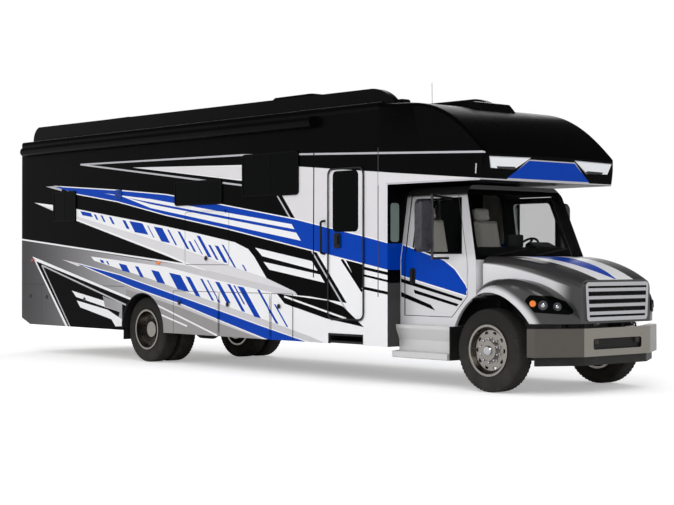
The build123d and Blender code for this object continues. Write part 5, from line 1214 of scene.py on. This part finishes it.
def bumper_back(face):
    on_ledge = face.center.z > BUMPER_TOP_Z and face.center.x < BUMPER_FACE_X
    return face.normal.x < BUMPER_BACK or on_ledge


refinish("grille", "gloss_black",
         lambda face: face.center.x < GRILLE_BACK_X and face.normal.x > LOOKS_FORWARD)
# Bumper ends that turn away get painted shade.
refinish("bumper", "bumper_painted_shade", lambda face: abs(face.normal.y) > BUMPER_TURN)
refinish("bumper", "trim_black", bumper_back)
mesh = bmesh.new()
plate(mesh, facing_x((SLOT_X, 0, SLOT_Z)), rounded(*SLOT_SIZE), 0.0, SLOT_DEPTH)
for i in range(GRID_BARS):
    size, low, high, bevel = GRID_BAR
    plate(mesh, facing_x((GRID_X, 0, SLOT_Z + GRID_LOW + GRID_STEP * i)), rounded(*size), low, high, bevel)
piece("bumper_mesh", mesh, "trim_black")
# Mirror heads are chrome with a painted dark reflection.
for side in SIDES:
    nodes[f"mirror_{side}"].data.materials[0] = FINISHES["dark_chrome"]
    refinish(f"mirror_{side}", "trim_black", lambda face: abs(face.center.y) < MIRROR_POST_Y)
print("grille, bumper and mirrors finished, slot bars", GRID_BARS)

# %% [markdown]
# On the real lamp two bowls with bulbs and an amber turn lamp show through a clear cover that follows the
# fender. Here the cover is dark glass and the parts are set on its skin, each at the nearest place and facing
# straight out, so that they stay in view on the curved form. A small lamp stands on each fender, and two
# wipers lie at the foot of the windshield.

# %% Headlamps, fender lamps and wipers
# Bowl and bulb: (share of the radius, w)
BOWL = [(1.0, -0.004), (1.0, 0.003), (0.93, 0.005), (0.80, 0.002), (0.45, 0.0008)]
BULB = [(0.42, -0.002), (0.42, 0.003), (0.30, 0.006), (0.05, 0.007)]
OUTER_LAMP = ((5.735, 1.032, 1.066), 0.056)
INNER_LAMP = ((5.860, 0.920, 1.052), 0.050)
TURN_LAMP = ((5.632, 1.094, 1.085), 0.038)
TURN_LENS = BOWL + [(0.05, 0.003)]
# The lamp bowls are chrome with a painted dark reflection.
HEADLAMP_PARTS = [("bowl_outer", *OUTER_LAMP, BOWL, "dark_chrome"),
                  ("bulb_outer", *OUTER_LAMP, BULB, "bright_chrome"),
                  ("bowl_inner", *INNER_LAMP, BOWL, "dark_chrome"),
                  ("bulb_inner", *INNER_LAMP, BULB, "bright_chrome"),
                  ("turn_lamp", *TURN_LAMP, TURN_LENS, "lamp_amber")]
FENDER_LAMP_AT = (5.09, 1.16, 1.29)
FENDER_LAMP = [(0.024, -0.004), (0.024, 0.008), (0.018, 0.013), (0.004, 0.015)]
WIPERS = [((4.680, -0.72, 1.652), (4.676, -0.40, 1.700), (4.672, -0.10, 1.735)),
          ((4.690, 0.05, 1.652), (4.686, 0.35, 1.700), (4.665, 0.68, 1.745))]
WIPER_RADIUS = 0.009


def on_skin(tree, sign, point):
    """A place on a curved skin, nearest to a point on one side, facing straight out of it."""
    x, y, z = point
    spot, facing = tree.find_nearest(Vector((x, sign * y, z)))[:2]
    across = facing.cross(Vector((0, 0, 1))).normalized()
    return placing(spot, across, facing.cross(across), facing)


nodes["headlamps"].data.materials[0] = FINISHES["dark_glass"]
lamp_skin, hood_skin = skin_tree("headlamps"), skin_tree("hood")
for side, sign in SIDES.items():
    mesh = bmesh.new()
    turned(mesh, on_skin(hood_skin, sign, FENDER_LAMP_AT), FENDER_LAMP)
    piece(f"fender_lamp_{side}", mesh, "bright_chrome", body_of["hood"])
    for part, point, radius, rows, material in HEADLAMP_PARTS:
        mesh = bmesh.new()
        profile = [(share * radius, w) for share, w in rows]
        turned(mesh, on_skin(lamp_skin, sign, point), profile, steps=28)
        piece(f"headlamp_{part}_{side}", mesh, material, body_of["headlamps"])
for i, points in enumerate(WIPERS):
    tube(f"wiper_{i}", points, WIPER_RADIUS)
print("headlamp parts", len(HEADLAMP_PARTS), "a side, wipers", len(WIPERS))

# %% [markdown]
# Through the windshield the dash shows as a dark pad with a hood over the dials and a screen in the middle.
# They are low padded forms, drawn from the side and run across the cab.

# %% Dash
DASH_TOP = [(4.19, 1.655), (4.21, 1.72), (4.32, 1.765), (4.47, 1.75), (4.55, 1.66)]
DIAL_HOOD = [(4.27, 1.70), (4.28, 1.80), (4.33, 1.83), (4.46, 1.775), (4.46, 1.70)]
# Each form: its outline, where it starts across the cab, and its width
DASH_FORMS = [(DASH_TOP, -0.86, 1.72), (DIAL_HOOD, 0.31, 0.42)]
DASH_BEVEL = 0.02
SCREEN_AT, SCREEN_SIZE = (4.29, 0.10, 1.845), (0.27, 0.16, 0.025)
SCREEN_BACK, SCREEN_FRONT, SCREEN_BEVEL = -0.02, 0.025, 0.008
mesh = bmesh.new()
for outline, start_y, width in DASH_FORMS:
    across_cab = placing((0, start_y, 0), (1, 0, 0), (0, 0, 1), (0, 1, 0))
    plate(mesh, across_cab, outline, 0.0, width, DASH_BEVEL)
plate(mesh, facing_x(SCREEN_AT, -1), rounded(*SCREEN_SIZE), SCREEN_BACK, SCREEN_FRONT, SCREEN_BEVEL)
piece("dash_top", mesh, "trim_black", sharp_degrees=40)
print("dash top", DASH_TOP[0], "to", DASH_TOP[-1])

# %% [markdown]
# The camera stands where the photograph was taken from, low and far to the front right. Its long lens keeps
# the vehicle's far end from shrinking much.

# %% Camera
IMAGE_WIDTH, FOCAL_PIXELS = 674, 1495.2
SENSOR = 36.0
CAMERA_AT, YAW, PITCH = (17.290, -14.440, 1.6145), 0.7232, 0.0072
SHIFT_X, SHIFT_Y = -0.0013, -0.0069
FARTHEST = 300.0
camera = bpy.data.objects.new("camera", bpy.data.cameras.new("camera"))
scene.collection.objects.link(camera)
camera.data.sensor_width = SENSOR
camera.data.lens = SENSOR * FOCAL_PIXELS / IMAGE_WIDTH
camera.data.shift_x = SHIFT_X
camera.data.shift_y = SHIFT_Y
camera.data.clip_end = FARTHEST
camera.location = CAMERA_AT
level = math.cos(PITCH)
ahead = Vector((-math.cos(YAW) * level, math.sin(YAW) * level, math.sin(PITCH)))
camera.rotation_euler = ahead.to_track_quat("-Z", "Y").to_euler()
scene.camera = camera
scene.view_settings.view_transform = "Standard"
print("camera", [round(c, 3) for c in camera.location], "lens", round(camera.data.lens, 1))

# %% [markdown]
# The floor is a plain diffuse sheet. For the camera alone it also glows a little, so that it meets the white
# surround without a horizon line and still takes the soft shadow under the vehicle.

# %% Floor
FLOOR_HALF, FLOOR_CELLS, FLOOR_Z = 150.0, 8, -0.001
FLOOR_GLOW = 0.34
mesh = bmesh.new()
bmesh.ops.create_grid(mesh, x_segments=FLOOR_CELLS, y_segments=FLOOR_CELLS, size=FLOOR_HALF)
floor_data = bpy.data.meshes.new("floor")
mesh.to_mesh(floor_data)
mesh.free()
floor_finish = finish("studio_floor", (247, 247, 247), 0.9, vary=0.01, specular=0.0)
tree = floor_finish.node_tree
glow = tree.nodes.new("ShaderNodeEmission")
path = tree.nodes.new("ShaderNodeLightPath")
camera_glow = math_node(tree, "MULTIPLY", path.outputs["Is Camera Ray"], FLOOR_GLOW)
tree.links.new(camera_glow, glow.inputs["Strength"])
both = tree.nodes.new("ShaderNodeAddShader")
tree.links.new(tree.nodes["Principled BSDF"].outputs[0], both.inputs[0])
tree.links.new(glow.outputs[0], both.inputs[1])
tree.links.new(both.outputs[0], tree.nodes["Material Output"].inputs["Surface"])
floor_data.materials.append(floor_finish)
floor = bpy.data.objects.new("floor", floor_data)
floor.location.z = FLOOR_Z
scene.collection.objects.link(floor)
print("floor half width", FLOOR_HALF)

# %% [markdown]
# The room is white to the eye and lights everything softly. What polished parts mirror is another matter: a
# pale wall under a dark ceiling, which is what makes them read as metal. Three large lamps add the soft
# highlights and the shadow's direction.

# %% World and lamps
ROOM_LIGHT = 0.74
WHITE, SURROUND, CEILING = (1.0, 1.0, 1.0), (0.85, 0.85, 0.85), (0.05, 0.05, 0.05)
WALL_TOP, CEILING_FROM = 0.05, 0.45
LIGHTS = [
    ("key", (17.0, -15.0, 13.0), 9.0, 1100.0),
    ("side_fill", (-4.0, -22.0, 10.0), 12.0, 800.0),
    ("back_fill", (-14.0, 16.0, 12.0), 12.0, 700.0),
]
AIM = Vector((0, 0, 1.6))


def background(tree, colour, strength=1.0):
    node = tree.nodes.new("ShaderNodeBackground")
    feed(tree, node.inputs["Color"], colour)
    node.inputs["Strength"].default_value = strength
    return node.outputs[0]


def mix_shaders(tree, factor, first, second):
    node = tree.nodes.new("ShaderNodeMixShader")
    for socket, value in zip(node.inputs, (factor, first, second)):
        tree.links.new(value, socket)
    return node.outputs[0]


scene.world = bpy.data.worlds.new("studio")
scene.world.use_nodes = True
sky = scene.world.node_tree
direction = sky.nodes.new("ShaderNodeTexCoord").outputs["Generated"]
height = ramp_between(sky, split_axes(sky, direction)["Z"], WALL_TOP, CEILING_FROM)
mirrored = background(sky, mix_colour(sky, height, SURROUND, CEILING))
rays = sky.nodes.new("ShaderNodeLightPath").outputs
lit = mix_shaders(sky, rays["Is Glossy Ray"], background(sky, WHITE, ROOM_LIGHT), mirrored)
seen = math_node(sky, "MAXIMUM", rays["Is Camera Ray"], rays["Is Transmission Ray"])
surface = mix_shaders(sky, seen, lit, background(sky, WHITE))
sky.links.new(surface, sky.nodes["World Output"].inputs["Surface"])
for name, place, size, power in LIGHTS:
    lamp = bpy.data.objects.new(name, bpy.data.lights.new(name, "AREA"))
    lamp.data.size = size
    lamp.data.energy = power
    lamp.location = place
    lamp.rotation_euler = (AIM - Vector(place)).to_track_quat("-Z", "Y").to_euler()
    scene.collection.objects.link(lamp)
print("lamps", [row[0] for row in LIGHTS])
